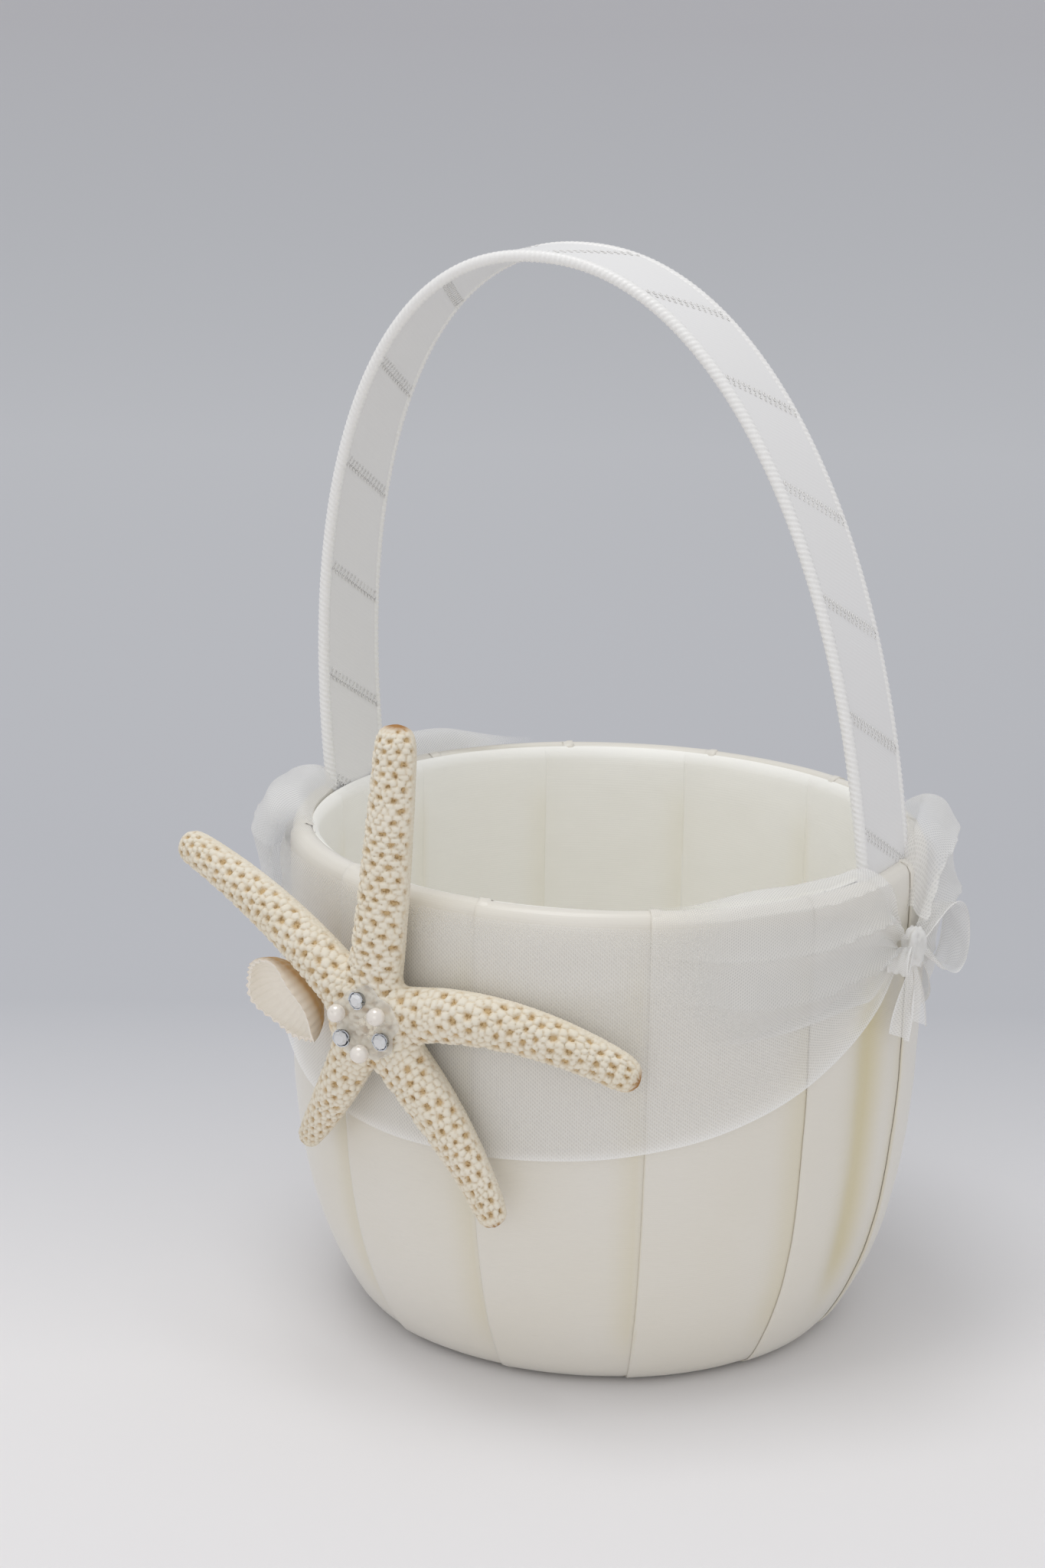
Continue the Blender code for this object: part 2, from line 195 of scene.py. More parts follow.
def sheet_shares(piece: bpy.types.Object, cut: tuple[float, float]) -> tuple[np.ndarray, np.ndarray]:
    """Shares of the way along and across a sheet of this cut, for each point, from its UV map."""
    mesh = piece.data
    uv = np.empty(len(mesh.loops) * 2, np.float32)
    mesh.uv_layers[0].data.foreach_get("uv", uv)
    corner = np.empty(len(mesh.loops), np.int32)
    mesh.loops.foreach_get("vertex_index", corner)
    shares = np.zeros((len(mesh.vertices), 2))
    shares[corner] = uv.reshape(-1, 2) / cut
    return shares[:, 0], shares[:, 1]


def spline(points: Sequence[Sequence[float]], share: np.ndarray) -> Points:
    """Smooth curve through points, read at shares of its length.

    Args:
        points: The points the curve passes through.
        share: Where to read it, from 0 at its start to 1 at its end.

    Returns:
        One row for each share.
    """
    p = np.asarray(points, float)
    length = np.concatenate([[0.0], np.cumsum(np.linalg.norm(np.diff(p, axis=0), axis=1))])
    at = np.clip(share, 0, 1) * length[-1]
    i = np.clip(np.searchsorted(length, at, side="right") - 1, 0, len(p) - 2)
    t = ((at - length[i]) / (length[i + 1] - length[i]))[:, None]
    ends = np.vstack([2 * p[0] - p[1], p, 2 * p[-1] - p[-2]])
    a, b, c, d = (ends[i + k] for k in range(4))
    return 0.5 * (2 * b + (c - a) * t + (2 * a - 5 * b + 4 * c - d) * t**2 + (3 * b - a - 3 * c + d) * t**3)


def ripple(points: Points, seed: int, reach: float, count: int = 7) -> np.ndarray:
    """Uneven soft wave over space, about 1 high, from a few random sines.

    Args:
        points: Where to read it, in millimetres.
        seed: Picks the wave.
        reach: Its usual length in millimetres.
        count: How many sines are added.

    Returns:
        One height for each point.
    """
    rng = np.random.default_rng(seed)
    total = np.zeros(len(points))
    for _ in range(count):
        way = rng.normal(size=3)
        way *= 2 * pi / (reach * rng.uniform(0.7, 1.6) * np.linalg.norm(way))
        total += np.sin(points @ way + rng.uniform(0, 2 * pi))
    return total / count**0.5


def step(values: np.ndarray, low: float, high: float) -> np.ndarray:
    """Smooth rise from 0 at low to 1 at high."""
    t = np.clip((values - low) / (high - low), 0, 1)
    return t * t * (3 - 2 * t)


def low_corner(node: str) -> Vector:
    """Lowest corner of a CAD node's box, in millimetres."""
    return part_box(node)[0] / MM


def high_corner(node: str) -> Vector:
    """Highest corner of a CAD node's box, in millimetres."""
    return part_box(node)[1] / MM


def middle(node: str) -> Vector:
    """Middle of a CAD node's box, in millimetres."""
    return (low_corner(node) + high_corner(node)) / 2


def hand_over(
    piece: bpy.types.Object, finish: bpy.types.Material, slot: Slot, *nodes: str
) -> bpy.types.Object:
    """Dress a finished piece, let it ride on the basket and hide any CAD nodes it replaces.

    Args:
        piece: The piece, in place.
        finish: Its material.
        slot: The record's slot for that material; not used.
        nodes: The CAD nodes it replaces.

    Returns:
        The same piece.
    """
    piece.data.materials.clear()
    piece.data.materials.append(finish)
    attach(piece, BODY)
    if nodes:
        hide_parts(*nodes)
    LOG.info("%s: %d faces, in %s", piece.name, len(piece.data.polygons), finish.name)
    return piece


# --------------------------------------------------------------------------------------------
# Materials
# --------------------------------------------------------------------------------------------

WAVE_PERIOD = 0.314159  # a wave texture's period at scale 1, in its coordinates' unit


def linear(hex_colour: str) -> tuple[float, float, float, float]:
    """Linear RGBA of an sRGB hex colour."""
    values = [int(hex_colour[i : i + 2], 16) / 255 for i in (1, 3, 5)]
    return (*(v / 12.92 if v <= 0.04045 else ((v + 0.055) / 1.055) ** 2.4 for v in values), 1.0)


def add_node(
    tree: bpy.types.NodeTree, kind: str, inputs: dict[str | int, object], **settings: object
) -> bpy.types.Node:
    """Add a shader node.

    Args:
        tree: The material's node tree.
        kind: The node's type, without its ShaderNode prefix.
        inputs: Values, or sockets to link, by the input's name or number.
        settings: The node's own settings.

    Returns:
        The node.
    """
    node = tree.nodes.new("ShaderNode" + kind)
    for name, value in settings.items():
        setattr(node, name, value)
    for key, value in inputs.items():
        if isinstance(value, bpy.types.NodeSocket):
            tree.links.new(value, node.inputs[key])
        else:
            node.inputs[key].default_value = value
    return node


def start_material(
    name: str, **shader_values: object
) -> tuple[bpy.types.Material, bpy.types.NodeTree, bpy.types.Node]:
    """New material with its Principled shader.

    Args:
        name: The material's name.
        shader_values: Values of the shader's sockets, with _ for a space.

    Returns:
        The material, its tree and its shader.
    """
    made = bpy.data.materials.new(name)
    made.use_nodes = True
    shader = made.node_tree.nodes["Principled BSDF"]
    for key, value in shader_values.items():
        shader.inputs[key.replace("_", " ")].default_value = value
    return made, made.node_tree, shader


@dataclass(frozen=True)
class Satin:
    """Polyester satin: long floats of filament yarn, so it is smooth with a soft broad shine."""

    name: str
    light: str
    # warm: tint of painted shade, for the folds and the inside of the bucket
    warm: str
    roughness: float = 0.42
    sheen: float = 0.25
    weft_mm: float = 0.55  # real filaments are near 0.1 mm; drawn coarser so that they show
    weave_depth_mm: float = 0.03

    def build(self) -> bpy.types.Material:
        """The material, on the cloth's own UV map in millimetres."""
        made, tree, shader = start_material(
            self.name, Sheen_Weight=self.sheen, Sheen_Roughness=0.45, Specular_IOR_Level=0.45
        )
        cloth_mm = add_node(tree, "UVMap", {}).outputs["UV"]
        weft = add_node(
            tree,
            "TexWave",
            {"Vector": cloth_mm, "Scale": WAVE_PERIOD / self.weft_mm, "Distortion": 0.6, "Detail": 1.0},
            bands_direction="Y",
        )
        stretched = add_node(tree, "Mapping", {"Vector": cloth_mm, "Scale": (1 / 14, 1 / 0.8, 1.0)})
        slub = add_node(tree, "TexNoise", {"Vector": stretched.outputs[0], "Scale": 1.0, "Detail": 3.0})
        place = add_node(tree, "TexCoord", {}).outputs["Object"]
        cloud = add_node(tree, "TexNoise", {"Vector": place, "Scale": 28.0, "Detail": 2.0})
        # The colour moves towards warm by a random cloud of tone, which is the cloth's own, and by painted
        # shade read from the cloth's attribute.
        painted_shade_tint = add_node(tree, "Attribute", {}, attribute_name="painted_shade_tint")
        mixed = add_node(tree, "Math", {0: cloud.outputs[0], 1: 0.25}, operation="MULTIPLY")
        share = add_node(
            tree, "Math", {0: mixed.outputs[0], 1: painted_shade_tint.outputs["Fac"]}, operation="ADD", use_clamp=True
        )
        colour = add_mix(tree, share.outputs[0], self.light, self.warm)
        tree.links.new(colour, shader.inputs["Base Color"])
        gloss = add_node(
            tree,
            "MapRange",
            {"Value": slub.outputs[0], "To Min": self.roughness - 0.07, "To Max": self.roughness + 0.07},
        )
        tree.links.new(gloss.outputs[0], shader.inputs["Roughness"])
        relief = add_node(tree, "Math", {0: weft.outputs[1], 1: slub.outputs[0]}, operation="ADD")
        bump = add_node(
            tree,
            "Bump",
            {"Height": relief.outputs[0], "Strength": 0.35, "Distance": self.weave_depth_mm * MM},
        )
        tree.links.new(bump.outputs[0], shader.inputs["Normal"])
        return made


def add_mix(
    tree: bpy.types.NodeTree, share: bpy.types.NodeSocket, first: object, second: object
) -> bpy.types.NodeSocket:
    """Mix two colours, given as hex strings or sockets, and return the colour socket."""
    inputs = {0: share}
    for number, colour in ((6, first), (7, second)):
        inputs[number] = linear(colour) if isinstance(colour, str) else colour
    return add_node(tree, "Mix", inputs, data_type="RGBA").outputs[2]


@dataclass(frozen=True)
class Organza:
    """Polyester organza: fine stiff yarns in an open plain weave, so it is sheer with bright edges."""

    name: str
    colour: str = "#f3f2ef"
    thread_mm: float = 0.5  # real yarns are 0.15 mm apart; drawn coarser so that they show
    least_solid: float = 0.30
    most_solid: float = 0.52

    def build(self) -> bpy.types.Material:
        """The material, sheer between its yarns, on the cloth's own UV map in millimetres."""
        made, tree, shader = start_material(
            self.name, Roughness=0.5, Sheen_Weight=0.5, Sheen_Roughness=0.35, Specular_IOR_Level=0.4
        )
        shader.inputs["Base Color"].default_value = linear(self.colour)
        cloth_mm = add_node(tree, "UVMap", {}).outputs["UV"]
        scale = WAVE_PERIOD / self.thread_mm
        warp = add_node(tree, "TexWave", {"Vector": cloth_mm, "Scale": scale}, bands_direction="X")
        weft = add_node(
            tree,
            "TexWave",
            {"Vector": cloth_mm, "Scale": scale, "Distortion": 0.5},
            bands_direction="DIAGONAL",
        )
        yarn = add_node(tree, "Math", {0: warp.outputs[1], 1: weft.outputs[1]}, operation="MAXIMUM")
        veil = add_node(tree, "Attribute", {}, attribute_name="veil")
        solid = add_node(
            tree,
            "MapRange",
            {"Value": yarn.outputs[0], "To Min": self.least_solid, "To Max": self.most_solid},
        )
        thicker = add_node(
            tree, "Math", {0: solid.outputs[0], 1: veil.outputs["Fac"]}, operation="ADD", use_clamp=True
        )
        tree.links.new(thicker.outputs[0], shader.inputs["Alpha"])
        bump = add_node(tree, "Bump", {"Height": weft.outputs[1], "Strength": 0.14, "Distance": 0.04 * MM})
        tree.links.new(bump.outputs[0], shader.inputs["Normal"])
        return made


@dataclass(frozen=True)
class Twist:
    """Satin piping cord: plied filament laid in a slant, so it glints in fine diagonal lines."""

    name: str
    colour: str
    roughness: float = 0.35

    def build(self) -> bpy.types.Material:
        """The material; the plies themselves are in the mesh."""
        made, tree, shader = start_material(self.name, Sheen_Weight=0.3, Roughness=self.roughness)
        place = add_node(tree, "TexCoord", {}).outputs["Object"]
        fuzz = add_node(tree, "TexNoise", {"Vector": place, "Scale": 1 / (0.6 * MM), "Detail": 2.0})
        colour = add_mix(tree, fuzz.outputs[0], self.colour, "#eceae6")
        tree.links.new(colour, shader.inputs["Base Color"])
        bump = add_node(tree, "Bump", {"Height": fuzz.outputs[0], "Strength": 0.3, "Distance": 0.05 * MM})
        tree.links.new(bump.outputs[0], shader.inputs["Normal"])
        return made


@dataclass(frozen=True)
class DriedStarfish:
    """Dried finger starfish: chalky lime plates over tan skin, which shows in pits and seams."""

    name: str = "dried_starfish_lime"
    plate: str = "#f0eadc"
    cream: str = "#e9dfc9"
    skin: str = "#d0b487"
    deep: str = "#a5875c"
    tip: str = "#a97a46"
    crotch: str = "#e4c28a"
    grit_mm: float = 0.35

    def build(self) -> bpy.types.Material:
        """The material, which reads how deep each point lies from the mesh's attributes."""
        made, tree, shader = start_material(self.name, Specular_IOR_Level=0.3)
        place = add_node(tree, "TexCoord", {}).outputs["Object"]
        grit_scale = 1 / (self.grit_mm * MM) / 2
        grit = add_node(tree, "TexNoise", {"Vector": place, "Scale": grit_scale, "Detail": 3.0})
        cloud = add_node(tree, "TexNoise", {"Vector": place, "Scale": 90.0, "Detail": 2.0})
        base = add_mix(tree, cloud.outputs[0], self.plate, self.cream)
        for attribute, colour in (("warm", self.crotch), ("seam", self.skin), ("pit", self.skin)):
            amount = add_node(tree, "Attribute", {}, attribute_name=attribute)
            base = add_mix(tree, amount.outputs["Fac"], base, colour)
        speck = add_node(tree, "MapRange", {"Value": grit.outputs[0], "From Min": 0.5, "From Max": 0.62})
        pit = add_node(tree, "Attribute", {}, attribute_name="pit")
        dark = add_node(tree, "Math", {0: speck.outputs[0], 1: pit.outputs["Fac"]}, operation="MULTIPLY")
        base = add_mix(tree, dark.outputs[0], base, self.deep)
        tip = add_node(tree, "Attribute", {}, attribute_name="tip")
        base = add_mix(tree, tip.outputs["Fac"], base, self.tip)
        tree.links.new(base, shader.inputs["Base Color"])
        rough = add_node(tree, "MapRange", {"Value": grit.outputs[0], "To Min": 0.7, "To Max": 0.95})
        tree.links.new(rough.outputs[0], shader.inputs["Roughness"])
        bump = add_node(tree, "Bump", {"Height": grit.outputs[0], "Strength": 0.5, "Distance": 0.12 * MM})
        tree.links.new(bump.outputs[0], shader.inputs["Normal"])
        return made


@dataclass(frozen=True)
class Scallop:
    """Scallop shell: ribbed lime with growth bands, tan outside and bone white inside."""

    name: str = "scallop_lime"
    bone: str = "#f5efe4"
    tan: str = "#d6a45c"
    pale: str = "#f1e3c6"
    growth_mm: float = 2.2

    def build(self) -> bpy.types.Material:
        """The material, which reads its outside and its growth bands from attributes."""
        made, tree, shader = start_material(self.name, Roughness=0.45, Specular_IOR_Level=0.5)
        outside = add_node(tree, "Attribute", {}, attribute_name="outside")
        growth = add_node(tree, "Attribute", {}, attribute_name="growth")
        place = add_node(tree, "TexCoord", {}).outputs["Object"]
        cloud = add_node(tree, "TexNoise", {"Vector": place, "Scale": 260.0, "Detail": 4.0})
        growth_rate = 2 * pi / self.growth_mm
        lines = add_node(tree, "Math", {0: growth.outputs["Fac"], 1: growth_rate}, operation="MULTIPLY")
        wave = add_node(tree, "Math", {0: lines.outputs[0]}, operation="SINE")
        band = add_node(
            tree, "MapRange", {"Value": wave.outputs[0], "From Min": -1.0, "To Min": 0.1, "To Max": 0.6}
        )
        broken = add_node(tree, "Math", {0: band.outputs[0], 1: cloud.outputs[0]}, operation="MULTIPLY")
        skin = add_mix(tree, broken.outputs[0], self.tan, self.pale)
        base = add_mix(tree, outside.outputs["Fac"], self.bone, skin)
        tree.links.new(base, shader.inputs["Base Color"])
        bump = add_node(tree, "Bump", {"Height": cloud.outputs[0], "Strength": 0.3, "Distance": 0.1 * MM})
        tree.links.new(bump.outputs[0], shader.inputs["Normal"])
        return made


@dataclass(frozen=True)
class Nacre:
    """Imitation pearl: a lacquer of fish-silver over a bead, so it glows softly under a clear coat."""

    name: str = "pearl_lacquer"
    face: str = "#f4eee4"
    cloud: str = "#e6ded5"
    cloud_mm: float = 2.5

    def build(self) -> bpy.types.Material:
        """The material: an ivory with faint greyer clouds, under a clear coat."""
        made, tree, shader = start_material(
            self.name,
            Roughness=0.25,
            Metallic=0.12,
            Coat_Weight=0.9,
            Coat_Roughness=0.06,
            Specular_IOR_Level=0.6,
        )
        place = add_node(tree, "TexCoord", {}).outputs["Object"]
        drift = add_node(tree, "TexNoise", {"Vector": place, "Scale": 1 / (self.cloud_mm * MM)})
        base = add_mix(tree, drift.outputs[0], self.face, self.cloud)
        tree.links.new(base, shader.inputs["Base Color"])
        return made


@dataclass(frozen=True)
class Clear:
    """A clear solid: cut crystal is bright and sharp, hot-melt glue is greyish and a little cloudy."""

    name: str
    tint: str
    roughness: float
    ior: float
    cloud_mm: float = 0.0
    alpha: float = 1.0
    clear: float = 1.0

    def build(self) -> bpy.types.Material:
        """The material; a cloudy one also has small dents."""
        made, tree, shader = start_material(
            self.name, Roughness=self.roughness, IOR=self.ior, Transmission_Weight=self.clear
        )
        shader.inputs["Base Color"].default_value = linear(self.tint)
        shader.inputs["Alpha"].default_value = self.alpha
        if self.cloud_mm:
            place = add_node(tree, "TexCoord", {}).outputs["Object"]
            dents = add_node(tree, "TexNoise", {"Vector": place, "Scale": 1 / (self.cloud_mm * MM)})
            bump = add_node(tree, "Bump", {"Height": dents.outputs[0], "Strength": 0.4, "Distance": 0.2 * MM})
            tree.links.new(bump.outputs[0], shader.inputs["Normal"])
        return made


@dataclass(frozen=True)
class Grained:
    """A plain solid told by its grain: pulp board, felt paper, cotton, strip plastic or steel."""

    name: str
    light: str
    dark: str
    grain_mm: float
    roughness: float
    relief_mm: float
    metallic: float = 0.0
    stretch: tuple[float, float, float] = (1.0, 1.0, 1.0)

    def build(self) -> bpy.types.Material:
        """The material: two tones, a varied roughness and a fine relief, in the grain's size."""
        made, tree, shader = start_material(self.name, Metallic=self.metallic)
        place = add_node(tree, "TexCoord", {}).outputs["Object"]
        laid = add_node(tree, "Mapping", {"Vector": place, "Scale": self.stretch})
        grain = add_node(
            tree, "TexNoise", {"Vector": laid.outputs[0], "Scale": 1 / (self.grain_mm * MM), "Detail": 4.0}
        )
        base = add_mix(tree, grain.outputs[0], self.dark, self.light)
        tree.links.new(base, shader.inputs["Base Color"])
        rough = add_node(
            tree,
            "MapRange",
            {"Value": grain.outputs[0], "To Min": self.roughness - 0.08, "To Max": self.roughness + 0.08},
        )
        tree.links.new(rough.outputs[0], shader.inputs["Roughness"])
        bump = add_node(
            tree, "Bump", {"Height": grain.outputs[0], "Strength": 0.5, "Distance": self.relief_mm * MM}
        )
        tree.links.new(bump.outputs[0], shader.inputs["Normal"])
        return made


# --------------------------------------------------------------------------------------------
# Bucket
# --------------------------------------------------------------------------------------------


@dataclass(frozen=True)
class BucketForm:
    """Plan and side of the bucket, which every layer of cloth follows."""

    half_x: float
    half_y: float
    rim_z: float
    foot_ratio: float = 0.76
    swell: float = 4.5

    @classmethod
    def from_frame(cls) -> "BucketForm":
        """Read the rim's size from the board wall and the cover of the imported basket."""
        board_inset = 1.2
        board = high_corner("shell_wall")
        return cls(board.x + board_inset, board.y + board_inset, high_corner("outer_cover").z)

    def ratio(self, z: np.ndarray) -> np.ndarray:
        """Half-width at a height over the rim's."""
        rise = np.clip(z / self.rim_z, 0, 1)
        return self.foot_ratio + (1 - self.foot_ratio) * (1 - (1 - rise) ** self.swell)

    def points(self, angle: np.ndarray, z: np.ndarray, out: np.ndarray) -> Points:
        """Points at angles from +X and heights, a distance outside the bucket's side."""
        ratio = self.ratio(z)
        x = (self.half_x * ratio + out) * np.cos(angle)
        y = (self.half_y * ratio + out) * np.sin(angle)
        return np.stack([x, y, z], axis=1)

    def reach(self) -> float:
        """Distance round the rim in millimetres."""
        return pi * (self.half_x + self.half_y)


@dataclass(frozen=True)
class Pleats:
    """Knife pleats laid one over the next round the bucket, as (distance, height) round it.

    At each fold the cloth comes from under the panel beyond, turns back to the fold's edge and
    rolls over it, then the panel falls slowly to the next fold.
    """

    count: int = 12
    phase: float = 5.0
    depth: float = 0.9
    tuck: float = 2.6
    panel_columns: int = 18

    def one(self, width: float) -> Points:
        """Columns of one pleat: distance from its fold in millimetres, and share of the depth."""
        fold = [(self.tuck, 0.05), (self.tuck / 2, 0.07), (0.4, 0.09), (0.1, 0.16), (0.0, 0.36)]
        fold += [(0.08, 0.62), (0.4, 0.86), (1.1, 1.0)]
        run = np.linspace(0, 1, self.panel_columns + 1)[1:]
        panel = [(1.1 + (width - 1.1) * t, 1.0 - t) for t in run]
        under = [(width + self.tuck / 2, 0.01), (width + self.tuck, 0.05)]
        return np.array(fold + panel + under)

    def columns(self, reach: float) -> tuple[np.ndarray, np.ndarray, np.ndarray]:
        """Angles in radians, heights and pleat numbers of all columns, first and last the same."""
        width = reach / self.count
        one = self.one(width)
        turn = 2 * pi / self.count
        angles, heights, numbers = [], [], []
        for pleat in range(self.count):
            angles.append(radians(self.phase) + turn * (pleat + one[:, 0] / width))
            heights.append(one[:, 1])
            numbers.append(np.full(len(one), pleat))
        angle, height, number = (np.concatenate(part) for part in (angles, heights, numbers))
        return np.append(angle, angle[0] + 2 * pi), np.append(height, height[0]), np.append(number, 0)


@dataclass
class SatinBucket:
    """Pleated satin cover with its turned-over rim, pleated lining, padded floor and felt base."""

    form: BucketForm
    satin: bpy.types.Material
    lining: bpy.types.Material
    felt: bpy.types.Material
    cover_pleats: Pleats = Pleats(depth=0.75)
    lining_pleats: Pleats = Pleats(phase=11.0, depth=0.35, tuck=0.7, panel_columns=14)
    rows: int = 64
    cover_profile: tuple[tuple[float, float], ...] = (
        # (height, distance outside the side), from under the base up and over the rim
        (0.9, -8.0),
        (0.5, -5.0),
        (0.7, -2.8),
        (1.8, -1.0),
        (4.0, -0.2),
        (10.0, 0.0),
        (24.0, 0.0),
        (44.0, 0.0),
        (66.0, 0.0),
        (88.0, 0.0),
        (106.0, 0.1),
        (114.0, 0.1),
        (116.6, -0.3),
        (117.8, -1.4),
        (118.2, -2.8),
        (117.8, -4.2),
        (116.4, -5.0),
        (113.5, -5.1),
    )
    lining_profile: tuple[tuple[float, float], ...] = (
        (4.9, -5.9),
        (7.0, -5.75),
        (10.0, -5.6),
        (24.0, -5.6),
        (44.0, -5.6),
        (66.0, -5.6),
        (88.0, -5.6),
        (106.0, -5.6),
        (114.0, -5.6),
        (116.0, -5.5),
        (116.9, -5.0),
        (117.3, -4.2),
    )
    board_thickness: float = 0.35
    foot_standoff: float = 1.2
    valley: tuple[float, float] = (-9.0, 4.5)  # middle and half-width of the open pleat by the bow, degrees

    def build(self) -> None:
        """Make and dress the bucket's cloth."""
        self.cover()
        self.liner()
        self.floor_pad()
        self.base_felt()

    def pleated(
        self, name: str, pleats: Pleats, profile: Sequence[tuple[float, float]], inward: bool, seed: int
    ) -> bpy.types.Object:
        """Closed sleeve of pleated cloth.

        Args:
            name: The piece's name.
            pleats: How its pleats lie.
            profile: Its side from bottom to top.
            inward: Whether its pleats stand towards the middle.
            seed: Picks its small unevenness.

        Returns:
            The sleeve as one skin, with its attribute of painted shade.
        """
        angle, height, number = pleats.columns(self.form.reach())
        last = len(angle) - 1
        rng = np.random.default_rng(seed)
        lean = np.append(rng.uniform(-1.6, 1.6, pleats.count), 0)
        strength = rng.uniform(0.75, 1.15, pleats.count)
        side = -1.0 if inward else 1.0
        painted_shade_tint = {}

        def place(u: np.ndarray, v: np.ndarray) -> Points:
            column = np.rint(u * last).astype(int)
            z, out = spline(profile, v).T
            pleat = number[column]
            slack = (1 - np.clip(z / self.form.rim_z, 0, 1)) ** 2
            turned = angle[column] + np.radians(lean[pleat]) * slack
            flat = self.form.points(turned, z, out)
            rolled = 1 - 0.45 * step(z, 116.0, 118.0)
            stand = height[column] * pleats.depth * strength[pleat] * rolled
            wide = pi / pleats.count
            across = np.mod(turned - radians(pleats.phase), 2 * wide) / (2 * wide)
            crown = 0.35 * np.sin(pi * across) * step(z, 6, 30) * (1 - step(z, 108, 117))
            uneven = 0.16 * ripple(flat, seed, 34.0) + 0.05 * ripple(flat, seed + 1, 11.0)
            # Painted shade: a warm tint along each fold's edge and on the part of each panel that lies in the
            # fold's shade, kept off the base and the rim.
            edge = np.exp(-(((height[column] - 0.02) / 0.12) ** 2))
            shade = 1 - step(across, 0.0, 0.22) if inward else 0.6 * step(across, 0.76, 1.0)
            tinge = (0.1 * edge + 0.4 * shade) * step(z, 4, 20)
            painted_shade_tint["values"] = np.clip(tinge * (1 - step(z, 100, 113)), 0, 1)
            stand = stand + (crown + uneven) * step(z, 2.0, 12.0)
            if inward:
                stand = stand * (1 - step(z, 115.0, 116.8))
                stand = stand + self.foot_standoff * np.abs(np.cos(turned)) ** 12
            else:
                centre, half = (radians(value) for value in self.valley)
                gap = np.exp(-(((np.mod(turned - centre + pi, 2 * pi) - pi) / half) ** 2))
                gap *= step(z, 8, 30) * (1 - step(z, 92, 104))
                stand = stand - 1.6 * gap
                # Painted shade in the open pleat by the bow, which is also dipped in.
                painted_shade_tint["values"] = np.clip(painted_shade_tint["values"] + 0.9 * gap, 0, 1)
            return self.form.points(turned, z, out + side * stand)

        length = float(np.linalg.norm(np.diff(np.array(profile), axis=0), axis=1).sum())
        cut = (self.form.reach() + 2 * pleats.count * pleats.tuck, length)
        sleeve = cloth(name, last, self.rows, place, cut)
        set_attribute(sleeve, "painted_shade_tint", painted_shade_tint["values"])
        weld(sleeve)
        return sleeve

    def cover(self) -> None:
        """Outer satin, from under the base over the rim, with a short turn-in."""
        sleeve = self.pleated("satin_cover", self.cover_pleats, self.cover_profile, False, 11)
        apply_modifier(sleeve, "SOLIDIFY", thickness=self.board_thickness * MM, offset=-1.0)
        smooth(sleeve, 80)
        hand_over(sleeve, self.satin, Slot.OUTER_SATIN, "outer_cover")

    def liner(self) -> None:
        """Satin lining with its own flatter pleats."""
        sleeve = self.pleated("satin_lining", self.lining_pleats, self.lining_profile, True, 23)
        apply_modifier(sleeve, "SOLIDIFY", thickness=self.board_thickness * MM, offset=1.0)
        smooth(sleeve, 80)
        hand_over(sleeve, self.lining, Slot.LINING_SATIN, "lining_wall")

    def floor_pad(self) -> None:
        """Padded satin floor of the lining, crowned, with soft puckers at its edge."""
        low, high = low_corner("lining_floor"), high_corner("lining_floor")
        half_x, half_y = high.x, high.y
        rise = high.z - low.z
        deselect()
        bpy.ops.mesh.primitive_uv_sphere_add(segments=96, ring_count=32, radius=1.0)
        pad = bpy.context.object
        pad.name = pad.data.name = "satin_floor_pad"
        points = coordinates(pad) * MM
        angle = np.arctan2(points[:, 1], points[:, 0])
        radius = np.hypot(points[:, 0], points[:, 1])
        full = np.sign(points[:, 2]) * np.abs(points[:, 2]) ** 0.45
        pucker = 0.25 * np.cos(24 * angle) * radius**6 * (points[:, 2] > 0)
        x = half_x * points[:, 0] * (1 + 0.06 * (1 - radius))
        y = half_y * points[:, 1] * (1 + 0.06 * (1 - radius))
        crown = 1.4 * (1 - radius**2) * (points[:, 2] > 0)
        z = low.z + rise / 2 + full * rise / 2 + crown + pucker
        move_points(pad, np.stack([x, y, z], axis=1))
        # Painted shade: a quarter of the lining's warm tint over the whole floor, for light bounced round
        # inside the bucket.
        set_attribute(pad, "painted_shade_tint", np.full(len(points), 0.25))
        smooth(pad)
        hand_over(pad, self.lining, Slot.LINING_SATIN, "lining_floor")

    def base_felt(self) -> None:
        """Felt-paper disc under the base, inside the satin's turned hem."""
        low, high = low_corner("base_cover"), high_corner("base_cover")
        deselect()
        bpy.ops.mesh.primitive_cylinder_add(vertices=96, radius=1.0, depth=1.0)
        disc = bpy.context.object
        disc.name = disc.data.name = "base_felt"
        bpy.ops.object.mode_set(mode="EDIT")
        bpy.ops.mesh.select_all(action="SELECT")
        bpy.ops.mesh.bevel(offset=0.08, segments=3)
        bpy.ops.object.mode_set(mode="OBJECT")
        points = coordinates(disc) * MM
        inset, thick = 4.5, 0.9
        points[:, 0] *= high.x - inset
        points[:, 1] *= high.y - inset
        points[:, 2] = low.z + (points[:, 2] + 0.5) * thick
        move_points(disc, points)
        smooth(disc, 40)
        hand_over(disc, self.felt, Slot.FELT_PAPER, "base_cover")


# --------------------------------------------------------------------------------------------
# Handle
# --------------------------------------------------------------------------------------------


